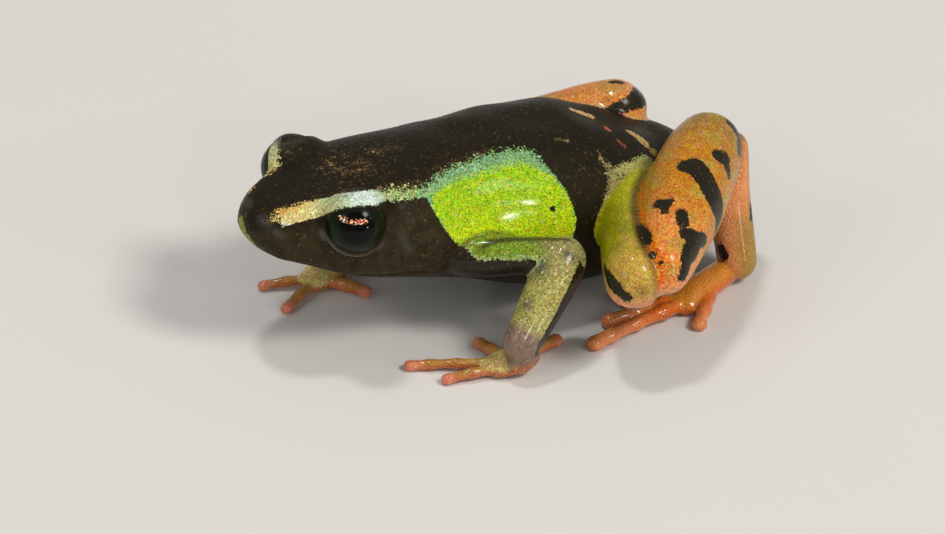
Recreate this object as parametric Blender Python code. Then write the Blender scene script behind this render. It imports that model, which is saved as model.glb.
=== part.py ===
"""A painted mantella, a small ground frog, as a still life-size model in a watchful sitting pose.

Every size is in millimetres and becomes metres when a mesh is made. x points to the frog's own left,
y runs from the tip of the snout back to the vent, and z is up from the floor. The frog sits in the
pose of the photo: fore feet planted, hind legs folded with the heels held high, belly just touching.
The flesh is parted where a person would name the parts, with a thin gap from face to face.
"""

import bmesh
import bpy
import numpy as np

MM = 0.001

# Driving sizes
SNOUT_VENT = 24.0
GAP = 0.3
EYE_GAP = 0.2
EYE_RADIUS = 0.0605 * SNOUT_VENT
OPENING = np.array([0.0565, 0.043]) * SNOUT_VENT
MOUND = np.array([1.54, 1.75, 1.46])
NECK = 8.6
SNOUT_ROUND = 1.25
VENT_ROUND = 2.4
FLOOR_BELOW = 3.0
KNOB_LENGTH = 0.28

# The trunk from snout to vent. Each row holds how far back it is, then the height of the mouth line
# or mid line, the half width there, how far the body rises above that line and hangs below it, and
# how square its upper and lower halves are, where 2 is an ellipse.
TRUNK = np.array(
    [
        [0.0, 6.28, 1.75, 1.25, 0.75, 2.3, 2.0],
        [0.6, 5.95, 1.90, 1.58, 0.88, 2.7, 2.0],
        [1.3, 5.72, 2.15, 1.93, 1.05, 3.3, 2.0],
        [2.6, 5.50, 2.75, 2.50, 1.35, 3.6, 2.0],
        [4.2, 5.26, 3.40, 3.05, 1.58, 3.2, 2.0],
        [6.2, 4.94, 3.90, 3.55, 1.70, 2.6, 2.0],
        [8.2, 4.60, 4.10, 3.88, 1.95, 2.3, 2.0],
        [10.5, 4.40, 4.20, 3.95, 2.85, 2.2, 2.0],
        [13.5, 4.20, 4.50, 3.98, 3.80, 2.2, 2.2],
        [16.5, 3.90, 4.65, 3.90, 3.96, 2.1, 2.4],
        [19.0, 3.70, 4.20, 3.10, 3.66, 2.0, 2.3],
        [21.5, 3.60, 3.25, 2.00, 2.60, 2.0, 2.1],
        [24.0, 3.40, 2.30, 1.50, 1.60, 2.0, 2.0],
    ]
)

# The mouth line is a groove along the widest level of the head, between two slightly full lips.
MOUTH_FROM, MOUTH_TO = 0.5, 7.3
MOUTH_DEPTH = 0.22
LIP_FULLNESS = 0.05
MOUTH_ANGLE, LIP_ANGLE = 3.0, 9.0

# The hollow between nostril and eye: how far back its middle is and how long it is, the angle above
# the mouth line of its middle and how wide it is, and its depth.
HOLLOW_Y, HOLLOW_LONG, HOLLOW_ANGLE, HOLLOW_WIDE, HOLLOW_DEPTH = 2.3, 0.8, 33.0, 16.0, 0.22

# The left nostril: the middle of its mouth, the way out of it, and its half width and half height.
NOSTRIL = (1.05, 1.25, 6.75)
NOSTRIL_OUT = (0.7, -0.35, 0.45)
NOSTRIL_SIZE = (0.15, 0.2)

# The head leans a little to its right, so the right eye sits lower than the left.
EYE_CENTRE = {1: (2.75, 4.1, 7.18), -1: (-2.75, 4.0, 6.98)}
GAZE = {1: (0.92, -0.28, 0.14), -1: (-0.92, -0.28, 0.06)}
EYE_LINE = np.array([0.0, 1.0, -0.2])
LID_RADIUS, LID_BEAD, LID_OUT = 1.53, 0.16, 0.22

# Joints of the limbs. The left side is the one that shows.
SHOULDER = {1: (3.7, 9.3, 4.4), -1: (-2.9, 8.8, 4.2)}
ELBOW = {1: (6.0, 13.2, 4.55), -1: (-6.4, 10.6, 2.9)}
WRIST = {1: (7.65, 10.05, 1.65), -1: (-3.4, 6.8, 1.4)}
HIP = {1: (1.9, 19.4, 4.2), -1: (-1.9, 19.4, 3.4)}
KNEE_FRONT = {1: (9.35, 14.85, 4.75), -1: (-7.2, 13.6, 1.75)}
KNEE_BACK = {1: (9.6, 16.1, 4.95), -1: (-7.5, 14.6, 1.45)}
HEEL = {1: (3.0, 22.7, 6.2), -1: (-2.4, 21.25, 5.4)}
ANKLE = {1: (5.58, 23.3, 0.9), -1: (-5.0, 21.9, 0.9)}

# How far the middle of each shank stands off the straight line, and how much fuller its calf is:
# the left one is pressed flat against the thigh.
SHANK_BEND = {1: (-0.12, -0.1, 0.1), -1: (0, 0.1, -0.2)}
CALF = {1: 0.18, -1: 0.0}


def smooth(keys, values, at):
    """Values at the places asked for, on a smooth curve through the keyed rows that never
    overshoots them: a cubic between each two keys, whose slope at a key is the harmonic mean of
    the slopes beside it, or level where those two differ in sign."""
    keys, values, at = np.asarray(keys, float), np.asarray(values, float), np.atleast_1d(at)
    values = values.reshape(len(keys), -1)
    gaps = np.diff(keys)[:, None]
    slopes = np.diff(values, axis=0) / gaps
    before, after = slopes[:-1], slopes[1:]
    weight_before, weight_after = 2 * gaps[1:] + gaps[:-1], gaps[1:] + 2 * gaps[:-1]
    rising = before * after > 0
    below = np.where(rising, weight_before / np.where(rising, before, 1), 1)
    above = np.where(rising, weight_after / np.where(rising, after, 1), 1)
    middle = np.where(rising, (weight_before + weight_after) / (below + above), 0)
    slope = np.vstack([slopes[:1], middle, slopes[-1:]])
    i = np.clip(np.searchsorted(keys, at, side="right") - 1, 0, len(keys) - 2)
    t = ((at - keys[i]) / gaps[i, 0])[:, None]
    start = values[i] * (1 + 2 * t) * (1 - t) ** 2 + gaps[i] * slope[i] * t * (1 - t) ** 2
    end = values[i + 1] * t**2 * (3 - 2 * t) + gaps[i] * slope[i + 1] * t**2 * (t - 1)
    return start + end


def unit(v):
    v = np.asarray(v, float)
    return v / np.linalg.norm(v, axis=-1, keepdims=True)


def rounded(length, first, last, turns, step):
    """Places along a rod with rounded ends, and how full the rod is there, from 0 at a tip to 1:
    close together over the rounded ends, evenly spaced between them."""
    angle = np.linspace(0, np.pi / 2, turns + 1)
    middle = np.linspace(first, length - last, max(2, int(round((length - first - last) / step)) + 1))
    start, end = first * (1 - np.cos(angle[:-1])), length - last * (1 - np.cos(angle[-2::-1]))
    places = np.concatenate([start, middle, end])
    full = np.concatenate([np.sin(angle[:-1]), np.ones(len(middle)), np.sin(angle[-2::-1])])
    return places, full


def mesh_object(name, points, faces):
    """A closed object from points in millimetres, with its faces turned outwards."""
    mesh = bpy.data.meshes.new(name)
    mesh.from_pydata([tuple(p) for p in np.asarray(points) * MM], [], faces)
    form = bmesh.new()
    form.from_mesh(mesh)
    bmesh.ops.triangulate(form, faces=form.faces)
    bmesh.ops.recalc_face_normals(form, faces=form.faces)
    form.to_mesh(mesh)
    form.free()
    obj = bpy.data.objects.new(name, mesh)
    bpy.context.scene.collection.objects.link(obj)
    return obj


def skinned(name, rings, start, end):
    """A closed object from rings of points, each end drawn together in a point."""
    count, around = rings.shape[:2]
    points = np.vstack([rings.reshape(-1, 3), [start, end]])
    faces = []
    for j in range(around):
        k = (j + 1) % around
        for i in range(count - 1):
            row = i * around
            faces.append((row + j, row + k, row + around + k, row + around + j))
        row = (count - 1) * around
        faces += [(row + around, k, j), (row + around + 1, row + j, row + k)]
    return mesh_object(name, points, faces)


def columns():
    """Angles round a section of the trunk, from the left side up and round: close together at the
    mouth line on both sides, wider apart over the back and the belly."""
    fine = [MOUTH_ANGLE, LIP_ANGLE]
    quarter = np.concatenate([fine, np.linspace(LIP_ANGLE, 90, 10)[1:]])
    half = np.concatenate([quarter, 180 - quarter[-2::-1]])
    return np.radians(np.concatenate([[0], half, [180], 180 + half]))


def mound_reach(y, middle, across, up, grow):
    """How far a ray in the section at y reaches from its middle point before it leaves the mound
    over either eye, or 0 where it misses both: the far root of a line against an ellipse."""
    reach = np.zeros_like(across)
    for eye_x, eye_y, eye_z in EYE_CENTRE.values():
        radii = MOUND + grow
        left = 1 - ((y - eye_y) / radii[1]) ** 2
        ex, ez = eye_x, eye_z - middle
        a = (across / radii[0]) ** 2 + (up / radii[2]) ** 2
        b = across * ex / radii[0] ** 2 + up * ez / radii[2] ** 2
        c = (ex / radii[0]) ** 2 + (ez / radii[2]) ** 2 - left
        inside = b * b - a * c
        found = np.where((inside > 0) & (b > 0), (b + np.sqrt(np.maximum(inside, 0))) / a, 0)
        reach = np.maximum(reach, np.maximum(found, 0))
    return reach


def trunk_section(y, full, grow=0.0, detail=True):
    """One ring of the trunk: a squarish oval, wider where the eye mounds stand out of it, with the
    groove of the mouth and the hollow between nostril and eye."""
    middle, side, above, below, square_above, square_below = smooth(TRUNK[:, 0], TRUNK[:, 1:], y)[0]
    angle = columns()
    c, s = np.cos(angle), np.sin(angle)
    square = np.where(s >= 0, square_above, square_below)
    x = np.sign(c) * np.abs(c) ** (2 / square) * (side * full + grow)
    z = np.sign(s) * np.abs(s) ** (2 / square) * (np.where(s >= 0, above, below) * full + grow)
    length = np.hypot(x, z)
    across, up = x / length, z / length
    mound = mound_reach(y, middle, across, up, grow)
    length = (length**12 + mound**12) ** (1 / 12)
    if detail:
        mouth = np.clip((y - MOUTH_FROM) / 0.5, 0, 1) * np.clip((MOUTH_TO - y) / 0.8, 0, 1)
        off = np.degrees(np.abs(np.arctan2(s, np.abs(c))))
        length += mouth * (LIP_FULLNESS * (np.abs(off - LIP_ANGLE) < 4) - MOUTH_DEPTH * (off < 1))
        hollow = np.exp(-(((y - HOLLOW_Y) / HOLLOW_LONG) ** 2) - ((off - HOLLOW_ANGLE) / HOLLOW_WIDE) ** 2)
        length -= HOLLOW_DEPTH * hollow * (s > 0)
    return np.stack([across * length, np.full_like(x, y), middle + up * length], 1)


def trunk_part(name, first, last, grow=0.0, detail=True, step=0.45):
    """The trunk between two places, rounded at the snout or the vent and flat where it is parted."""
    places, full = rounded(SNOUT_VENT, SNOUT_ROUND, VENT_ROUND, 6, step)
    places, full = places[1:-1], full[1:-1]
    kept = (places > first + 0.1) & (places < last - 0.1)
    places, full = places[kept], full[kept]
    if first > 0:
        places, full = np.insert(places, 0, first), np.insert(full, 0, 1)
    if last < SNOUT_VENT:
        places, full = np.append(places, last), np.append(full, 1)
    rings = np.array([trunk_section(y, f, grow, detail) for y, f in zip(places, full)])
    start = [0, max(first, -grow), smooth(TRUNK[:, 0], TRUNK[:, 1], max(first, 0))[0, 0]]
    end = [0, min(last, SNOUT_VENT + grow), smooth(TRUNK[:, 0], TRUNK[:, 1], min(last, SNOUT_VENT))[0, 0]]
    if grow and first <= 0:
        start[1] = -grow
    if grow and last >= SNOUT_VENT:
        end[1] = SNOUT_VENT + grow
    return skinned(name, rings, start, end)


def limb(name, joints, sizes, hint=(0, 0, 1), grow=0.0, around=12, step=1.0, turns=3, knobs=()):
    """A limb along a smooth curve through its joints: an oval section of the keyed half widths and
    half heights, rounded past the first and last joint by its own half width there, and a little
    fuller at the knobs, each given as a place along the limb and a fullness."""
    joints, sizes = np.array(joints, float), np.array(sizes, float)
    radii = sizes.mean(axis=1)
    joints[0] -= unit(joints[1] - joints[0]) * (radii[0] + grow)
    joints[-1] += unit(joints[-1] - joints[-2]) * (radii[-1] + grow)
    keys = np.concatenate([[0], np.cumsum(np.linalg.norm(np.diff(joints, axis=0), axis=1))])
    places, full = rounded(keys[-1], radii[0] + grow, radii[-1] + grow, turns, step)
    line = smooth(keys, joints, places)
    tangent = unit(smooth(keys, joints, places + 0.01) - smooth(keys, joints, places - 0.01))
    side = unit(np.cross(tangent, hint))
    up = np.cross(side, tangent)
    size = smooth(np.linspace(0, keys[-1], len(sizes)), sizes, places)
    for place, fullness in knobs:
        off = (places - place * keys[-1]) / KNOB_LENGTH
        size = size * (1 + fullness * np.exp(-(off**2)))[:, None]
    size = (size + grow) * full[:, None]
    angle = np.linspace(0, 2 * np.pi, around, endpoint=False)
    rings = (
        line[:, None]
        + side[:, None] * (size[:, :1] * np.cos(angle))[..., None]
        + up[:, None] * (size[:, 1:] * np.sin(angle))[..., None]
    )
    return skinned(name, rings[1:-1], line[0], line[-1])


def applied(obj):
    """Its modifiers become its mesh."""
    graph = bpy.context.evaluated_depsgraph_get()
    old = obj.data
    obj.data = bpy.data.meshes.new_from_object(obj.evaluated_get(graph))
    obj.modifiers.clear()
    bpy.data.meshes.remove(old)
    return obj


def boolean(obj, others, operation):
    """One Boolean with a collection of closed objects, which are then removed."""
    group = bpy.data.collections.new("helpers")
    bpy.context.scene.collection.children.link(group)
    for other in others:
        bpy.context.scene.collection.objects.unlink(other)
        group.objects.link(other)
    modifier = obj.modifiers.new(operation.lower(), "BOOLEAN")
    modifier.operation = operation
    modifier.operand_type = "COLLECTION"
    modifier.collection = group
    modifier.solver = "EXACT"
    applied(obj)
    for other in others:
        bpy.data.objects.remove(other)
    bpy.data.collections.remove(group)
    return largest(obj)


def largest(obj):
    """Only the largest closed surface of an object is kept."""
    form = bmesh.new()
    form.from_mesh(obj.data)
    bmesh.ops.triangulate(form, faces=form.faces)
    left, pieces = set(form.verts), []
    while left:
        piece, edge = set(), [left.pop()]
        while edge:
            vert = edge.pop()
            piece.add(vert)
            near = {e.other_vert(vert) for e in vert.link_edges} & left
            left -= near
            edge += near
        pieces.append(piece)
    pieces.sort(key=len)
    bmesh.ops.delete(form, geom=[v for piece in pieces[:-1] for v in piece], context="VERTS")
    form.to_mesh(obj.data)
    form.free()
    return obj


def floor_block():
    """A block whose top is the floor, to cut the flats that hands, feet and belly rest on."""
    reach = 2 * SNOUT_VENT
    corners = [(x, y, z) for x in (-reach, reach) for y in (-reach, reach) for z in (-FLOOR_BELOW, 0)]
    faces = [(0, 1, 3, 2), (4, 6, 7, 5), (0, 4, 5, 1), (2, 3, 7, 6), (0, 2, 6, 4), (1, 5, 7, 3)]
    return mesh_object("floor", corners, faces)


def eye_axes(side):
    """The gaze, the line from the front to the back corner of the lids, and the way up between."""
    gaze = unit(GAZE[side])
    line = unit(EYE_LINE - gaze * (EYE_LINE @ gaze))
    return gaze, line, np.cross(line, gaze) * side


def eye_plug(name, side, grow, front, back, rings=(0.3, 0.55, 0.78, 0.93, 1.0)):
    """The part of the eye that shows between the lids: a cap of the eyeball on a short oval stem.
    With a front it ends flat that far out instead, as the block that cuts the socket does."""
    gaze, line, up = eye_axes(side)
    centre = np.array(EYE_CENTRE[side])
    angle = np.linspace(0, 2 * np.pi, 28, endpoint=False)
    length, height = OPENING + grow
    rim = length * np.cos(angle)[:, None] * line + height * np.sin(angle)[:, None] * up
    made = [centre + rim + gaze * back]
    for share in reversed(rings):
        flat = rim * share
        out = front if front else np.sqrt((EYE_RADIUS + grow) ** 2 - (flat**2).sum(1))[:, None]
        made.append(centre + flat + gaze * out)
    tip = centre + gaze * (front or EYE_RADIUS + grow)
    return skinned(name, np.array(made), centre + gaze * back, tip)


def lid_rim(side):
    """A soft rim round the opening of the lids: a small round bead along the oval where the lids
    meet the eye mound."""
    gaze, line, up = eye_axes(side)
    angle = np.linspace(0, 2 * np.pi, 28, endpoint=False)
    length, height = OPENING + LID_OUT
    flat = length * np.cos(angle)[:, None] * line + height * np.sin(angle)[:, None] * up
    path = flat + gaze * np.sqrt(np.maximum(LID_RADIUS**2 - (flat**2).sum(1), 0.1))[:, None]
    outward = unit(path)
    along = unit(np.roll(path, -1, 0) - np.roll(path, 1, 0))
    sideways = np.cross(along, outward)
    turn = np.linspace(0, 2 * np.pi, 6, endpoint=False)
    points = (
        np.array(EYE_CENTRE[side])
        + path[:, None]
        + LID_BEAD * (np.cos(turn)[:, None] * outward[:, None] + np.sin(turn)[:, None] * sideways[:, None])
    )
    n, m = points.shape[:2]
    faces = [
        (i * m + j, i * m + (j + 1) % m, (i + 1) % n * m + (j + 1) % m, (i + 1) % n * m + j)
        for i in range(n)
        for j in range(m)
    ]
    return mesh_object("rim", points.reshape(-1, 3), faces)


def nostril(side):
    """A small oval pit near the tip of the snout."""
    mirror = (side, 1, 1)
    place = np.array(NOSTRIL) * mirror
    outward = unit(NOSTRIL_OUT) * mirror
    return limb("pit", [place - outward * 0.2, place + outward * 0.25], [NOSTRIL_SIZE] * 2, around=8, turns=2)


def head():
    body = trunk_part("head", 0, NECK - GAP / 2, step=0.36)
    boolean(body, [lid_rim(1), lid_rim(-1)], "UNION")
    sockets = [eye_plug("socket", side, EYE_GAP, 2.4, 0.0, rings=(1.0,)) for side in (1, -1)]
    return boolean(body, sockets + [nostril(1), nostril(-1)], "DIFFERENCE")


def torso():
    body = trunk_part("torso", NECK + GAP / 2, SNOUT_VENT, step=0.8)
    return boolean(body, [floor_block()], "DIFFERENCE")


def grown_trunk():
    return trunk_part("keep_off", -1, SNOUT_VENT + 1, grow=GAP, detail=False, step=0.8)


def upper_arm(side, grow=0.0):
    middle = (np.array(SHOULDER[side]) + ELBOW[side]) / 2 + (0.25 * side, 0, 0.15)
    sizes = [(1.0, 1.05), (0.95, 1.0), (0.85, 0.85), (0.85, 0.85)]
    return limb("upper_arm", [SHOULDER[side], middle, ELBOW[side]], sizes, grow=grow)


def forearm(side, grow=0.0):
    middle = (np.array(ELBOW[side]) + WRIST[side]) / 2 + (0.1 * side, 0, 0.1)
    sizes = [(0.85, 0.9), (1.12, 1.15), (1.05, 1.05), (0.9, 0.8), (0.78, 0.66)]
    return limb("forearm", [ELBOW[side], middle, WRIST[side]], sizes, hint=(side, 0, 0.3), grow=grow)


def thigh(side, grow=0.0):
    middle = (np.array(HIP[side]) + KNEE_FRONT[side]) / 2 + (0, -0.25, 0)
    sizes = [(1.6, 1.9), (1.4, 1.9), (1.35, 1.85), (1.4, 1.65), (1.3, 1.35)]
    return limb("thigh", [HIP[side], middle, KNEE_FRONT[side]], sizes, grow=grow, around=14)


def shank(side, grow=0.0):
    middle = (np.array(KNEE_BACK[side]) + HEEL[side]) / 2 + SHANK_BEND[side]
    calf = CALF[side]
    belly = [(1.42 + calf, 1.5 + calf), (1.78 + calf, 1.85 + calf), (1.68 + calf, 1.72 + calf)]
    sizes = [(1.05, 1.1), *belly, (1.2, 1.25)]
    return limb("shank", [KNEE_BACK[side], middle, HEEL[side]], sizes, grow=grow, around=14)


def tarsus(side, grow=0.0):
    middle = (np.array(HEEL[side]) + ANKLE[side]) / 2 + (0.1 * side, 0.25, 0)
    sizes = [(0.8, 0.85), (0.9, 0.88), (0.8, 0.8), (0.75, 0.72)]
    start = np.array(HEEL[side]) + (0.2 * side, 0.9 if side > 0 else 0.5, -0.4)
    return limb("tarsus", [start, middle, ANKLE[side]], sizes, hint=(0, 1, 0), grow=grow)


# Fingers and toes lie on the floor. Each row holds where it grows from the palm or sole and where
# its tip is, across and along, and the places of its knobs as shares of its length.
PALM = {1: (7.1, 9.75), -1: (-2.95, 5.6)}
FINGERS = {
    1: [
        [(6.75, 9.2), (4.96, 5.9), (0.45, 0.72)],
        [(7.2, 9.1), (6.7, 6.85), (0.5,)],
        [(7.05, 10.2), (6.33, 12.7), (0.5,)],
        [(6.7, 9.75), (4.95, 9.57), (0.5,)],
    ],
    -1: [
        [(-3.1, 5.3), (-3.81, 3.27), (0.5,)],
        [(-2.7, 5.2), (-1.7, 3.3), (0.5,)],
        [(-2.5, 5.9), (-1.2, 7.04), (0.5,)],
        [(-3.3, 5.9), (-5.2, 7.2), (0.5,)],
    ],
}
SOLE_END = {1: (6.55, 19.4), -1: (-6.9, 18.8)}
TOES = {
    1: [
        [(6.6, 19.6), (7.35, 14.2), (0.3, 0.55, 0.78)],
        [(6.3, 19.8), (6.1, 15.75), (0.35, 0.65)],
        [(6.0, 20.1), (5.0, 17.3), (0.5,)],
        [(5.75, 20.6), (4.5, 19.2), (0.5,)],
        [(6.8, 20.6), (8.15, 19.3), (0.5,)],
    ],
    -1: [
        [(-7.05, 18.8), (-9.8, 14.2), (0.3, 0.55, 0.78)],
        [(-6.85, 18.9), (-8.8, 16.2), (0.35, 0.65)],
        [(-6.6, 19.1), (-7.7, 17.5), (0.5,)],
        [(-6.2, 19.6), (-5.8, 18.2), (0.5,)],
        [(-7.0, 19.6), (-9.0, 18.6), (0.5,)],
    ],
}
FINGER_RADIUS = 0.25
TOE_RADIUS = 0.3
DIGIT_SINK = 0.05


def digit(root, tip, knobs, radius):
    """A finger or toe that lies along the floor, with a knob under each joint and a rounded tip."""
    root, tip = np.array([*root, radius + 0.15]), np.array([*tip, radius - DIGIT_SINK])
    middle = root + (tip - root) * 0.5 + (0, 0, 0.06)
    sizes = np.array([(1.15, 1.1), (1.05, 1.0), (1.0, 1.0), (1.12, 1.04)]) * radius
    bumps = [(place, 0.16) for place in knobs]
    return limb("digit", [root, middle, tip], sizes, around=8, step=0.35, turns=2, knobs=bumps)


def hand(side):
    palm = (*PALM[side], 0.42)
    wrist = np.array(WRIST[side])
    root = wrist + unit(np.array(palm) - wrist) * 0.35
    fingers = FINGERS[side]
    knuckles = np.mean([finger[0] for finger in fingers[:2]], axis=0)
    front = (*knuckles, 0.36)
    obj = limb("hand", [root, palm, front], [(0.62, 0.5), (0.72, 0.42), (0.6, 0.36)], around=10, step=0.5)
    boolean(obj, [digit(*finger, FINGER_RADIUS) for finger in fingers], "UNION")
    return boolean(obj, [floor_block()], "DIFFERENCE")


def foot(side):
    ankle = np.array(ANKLE[side])
    end = (*SOLE_END[side], 0.4)
    start = ankle + (0, -0.5, -0.35)
    sizes = [(0.6, 0.5), (0.62, 0.46), (0.72, 0.42)]
    obj = limb("foot", [start, (start + end) / 2, end], sizes, around=10, step=0.8)
    boolean(obj, [digit(*toe, TOE_RADIUS) for toe in TOES[side]], "UNION")
    return boolean(obj, [floor_block()], "DIFFERENCE")


def material(name, colour, roughness):
    made = bpy.data.materials.new(name)
    made.use_nodes = True
    shader = made.node_tree.nodes["Principled BSDF"]
    shader.inputs["Base Color"].default_value = (*colour, 1)
    shader.inputs["Roughness"].default_value = roughness
    shader.inputs["Metallic"].default_value = 0
    return made


def finish(obj, name, finish_of):
    obj.name = obj.data.name = name
    obj.data.materials.clear()
    obj.data.materials.append(finish_of)
    obj.data.shade_smooth()
    obj.data.set_sharp_from_angle(angle=np.radians(50))
    return obj


def main():
    for old in list(bpy.data.objects):
        bpy.data.objects.remove(old)
    black = material("black_skin", (0.02, 0.016, 0.012), 0.3)
    green = material("green_skin", (0.35, 0.45, 0.05), 0.35)
    orange = material("orange_skin", (0.65, 0.2, 0.05), 0.35)
    eye_black = material("eye", (0.01, 0.012, 0.01), 0.05)
    made = [finish(head(), "head", black), finish(torso(), "torso", black)]
    for side, end in ((1, "_l"), (-1, "_r")):
        eye = eye_plug("eye", side, 0, None, EYE_GAP)
        arm = boolean(upper_arm(side), [grown_trunk(), forearm(side, GAP)], "DIFFERENCE")
        fore = boolean(forearm(side), [grown_trunk()], "DIFFERENCE")
        palm = boolean(hand(side), [forearm(side, GAP), grown_trunk()], "DIFFERENCE")
        upper = boolean(thigh(side), [grown_trunk(), shank(side, GAP)], "DIFFERENCE")
        lower = boolean(shank(side), [grown_trunk()], "DIFFERENCE")
        ankle = boolean(tarsus(side), [shank(side, GAP), grown_trunk()], "DIFFERENCE")
        sole = boolean(foot(side), [tarsus(side, GAP)], "DIFFERENCE")
        made.append(finish(eye, "eye" + end, eye_black))
        made.append(finish(arm, "upper_arm" + end, green))
        made.append(finish(fore, "forearm" + end, green))
        made.append(finish(palm, "hand" + end, orange))
        made.append(finish(upper, "thigh" + end, orange))
        made.append(finish(lower, "shank" + end, orange))
        made.append(finish(ankle, "tarsus" + end, orange))
        made.append(finish(sole, "foot" + end, orange))
    centre(made)


def centre(made):
    """The whole frog is moved so that the middle of its footprint is the origin."""
    points = np.vstack([np.array([v.co for v in obj.data.vertices]) for obj in made])
    low, high = points.min(0), points.max(0)
    shift = -np.array([(low[0] + high[0]) / 2, (low[1] + high[1]) / 2, low[2]])
    for obj in made:
        places = np.empty(len(obj.data.vertices) * 3, np.float32)
        obj.data.vertices.foreach_get("co", places)
        obj.data.vertices.foreach_set("co", (places.reshape(-1, 3) + shift).astype(np.float32).ravel())
        obj.data.update()


main()
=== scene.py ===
"""The look of a painted mantella, a small ground frog that sits alert on a pale floor.

Shapes are worked out in millimetres in the frog's own frame: x points to its left, y runs from the
tip of the snout back to the vent, and z is up. One skin covers the whole animal and the two eyes
are pieces of their own. The flesh starts as closed forms along the same lines as the solids, which
are fused to one surface, relaxed where parts meet, refined where small forms need it and then
shaped point by point. The markings are distances and colours worked out for each point of the skin.
"""

from functools import partialmethod

import bmesh
import bpy
import numpy as np
from mathutils import Matrix, Vector


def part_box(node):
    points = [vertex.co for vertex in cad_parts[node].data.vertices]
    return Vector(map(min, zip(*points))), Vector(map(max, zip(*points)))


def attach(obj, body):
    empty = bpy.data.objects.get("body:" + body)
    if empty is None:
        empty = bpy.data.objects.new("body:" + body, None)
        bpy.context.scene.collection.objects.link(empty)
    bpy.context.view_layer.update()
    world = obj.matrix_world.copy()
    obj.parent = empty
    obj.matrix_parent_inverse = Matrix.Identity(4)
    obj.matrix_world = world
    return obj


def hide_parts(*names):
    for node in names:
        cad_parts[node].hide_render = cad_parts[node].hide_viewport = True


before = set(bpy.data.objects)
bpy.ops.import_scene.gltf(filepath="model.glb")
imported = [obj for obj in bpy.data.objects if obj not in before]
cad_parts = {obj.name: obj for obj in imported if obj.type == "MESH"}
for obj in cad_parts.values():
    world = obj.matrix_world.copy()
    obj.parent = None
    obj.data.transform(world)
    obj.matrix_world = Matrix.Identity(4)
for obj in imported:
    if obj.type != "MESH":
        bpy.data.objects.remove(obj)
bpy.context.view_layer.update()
MM = 0.001

# The frame: the snout's tip and the middle plane of the torso place the frog on the row
TORSO_LOW, TORSO_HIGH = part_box("torso")
FROG = np.array([(TORSO_LOW[0] + TORSO_HIGH[0]) / 2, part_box("head")[0][1], 0.0])

# Driving sizes, in millimetres
SNOUT_VENT = 24.0
EYE_RADIUS = 0.0605 * SNOUT_VENT
OPENING = np.array([0.0583, 0.044]) * SNOUT_VENT
OPENING_BACK, FAR_SHARE = 0.05, 9.0
MOUND = np.array([1.54, 1.75, 1.46])
SNOUT_ROUND = 1.25
VENT_ROUND = 2.4
VOXEL, FINE_VOXEL = 0.152, 0.1
NECK = 8.6
# The skin is finer over the head: in front of this, and above this
HEAD_BACK, HEAD_LOW = 7.9, 4.4

# The trunk from snout to vent. Each row holds how far back it is, then the height of the mouth line
# or mid line, the half width there, how far the body rises above that line and hangs below it, and
# how square its upper and lower halves are, where 2 is an ellipse.
TRUNK = np.array(
    [
        [0.0, 6.28, 1.75, 1.25, 0.62, 2.3, 1.7],
        [0.6, 5.95, 1.87, 1.58, 0.68, 2.7, 1.5],
        [1.3, 5.72, 2.10, 1.93, 0.82, 3.3, 1.45],
        [2.6, 5.50, 2.72, 2.50, 1.22, 3.6, 1.6],
        [4.2, 5.26, 3.40, 3.05, 1.66, 3.2, 1.9],
        [6.2, 4.94, 3.90, 3.55, 1.88, 2.6, 2.0],
        [8.2, 4.60, 4.10, 3.88, 2.12, 2.3, 2.0],
        [10.5, 4.40, 4.20, 3.95, 2.85, 2.2, 2.0],
        [13.5, 4.20, 4.50, 3.98, 3.80, 2.2, 2.2],
        [16.5, 3.90, 4.65, 3.90, 3.96, 2.1, 2.4],
        [19.0, 3.70, 4.20, 3.10, 3.66, 2.0, 2.3],
        [21.5, 3.60, 3.25, 2.00, 2.60, 2.0, 2.1],
        [24.0, 3.40, 2.30, 1.50, 1.60, 2.0, 2.0],
    ]
)

# The head leans a little to its right, so the right eye sits lower than the left.
EYE_CENTRE = {1: (2.75, 4.1, 7.18), -1: (-2.75, 4.0, 6.98)}
GAZE = {1: (0.92, -0.28, 0.14), -1: (-0.92, -0.28, 0.06)}
EYE_LINE = np.array([0.0, 1.0, -0.2])
PUPIL = (-0.2, 0.2)
NOSTRIL, NOSTRIL_OVAL = (1.12, 1.18, 6.62), (1, 1, 1.25)

# Joints of the limbs. The left side is the one that shows.
SHOULDER = {1: (3.7, 9.3, 4.4), -1: (-2.9, 8.8, 4.2)}
ELBOW = {1: (6.0, 13.2, 4.55), -1: (-6.4, 10.6, 2.9)}
WRIST = {1: (7.65, 10.05, 1.65), -1: (-3.4, 6.8, 1.4)}
HIP = {1: (1.9, 19.4, 4.2), -1: (-1.9, 19.4, 3.4)}
KNEE_FRONT = {1: (9.35, 14.85, 4.75), -1: (-7.2, 13.6, 1.75)}
KNEE_BACK = {1: (9.6, 16.1, 4.95), -1: (-7.5, 14.6, 1.45)}
HEEL = {1: (3.0, 22.7, 6.2), -1: (-2.4, 21.25, 5.4)}
ANKLE = {1: (5.4, 23.0, 1.0), -1: (-5.0, 21.9, 0.9)}

# How far the middle of a limb part stands off the straight line between its ends: outwards, back
# and up. The left shank is pressed flat against the thigh, so its calf is fuller.
ARM_BEND, FOREARM_BEND, THIGH_BEND = (0.25, 0, 0.15), (0.1, 0, 0.1), (0, -0.25, 0)
SHANK_BEND = {1: (-0.12, -0.1, 0.1), -1: (0, 0.1, -0.2)}
TARSUS_BEND = {1: (0, -0.2, 0.2), -1: (0, 0, 0.2)}
TARSUS_START = {1: (0.2, 0.9, -0.4), -1: (-0.2, 0.5, -0.4)}
CALF = {1: 0.18, -1: 0.0}

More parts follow.
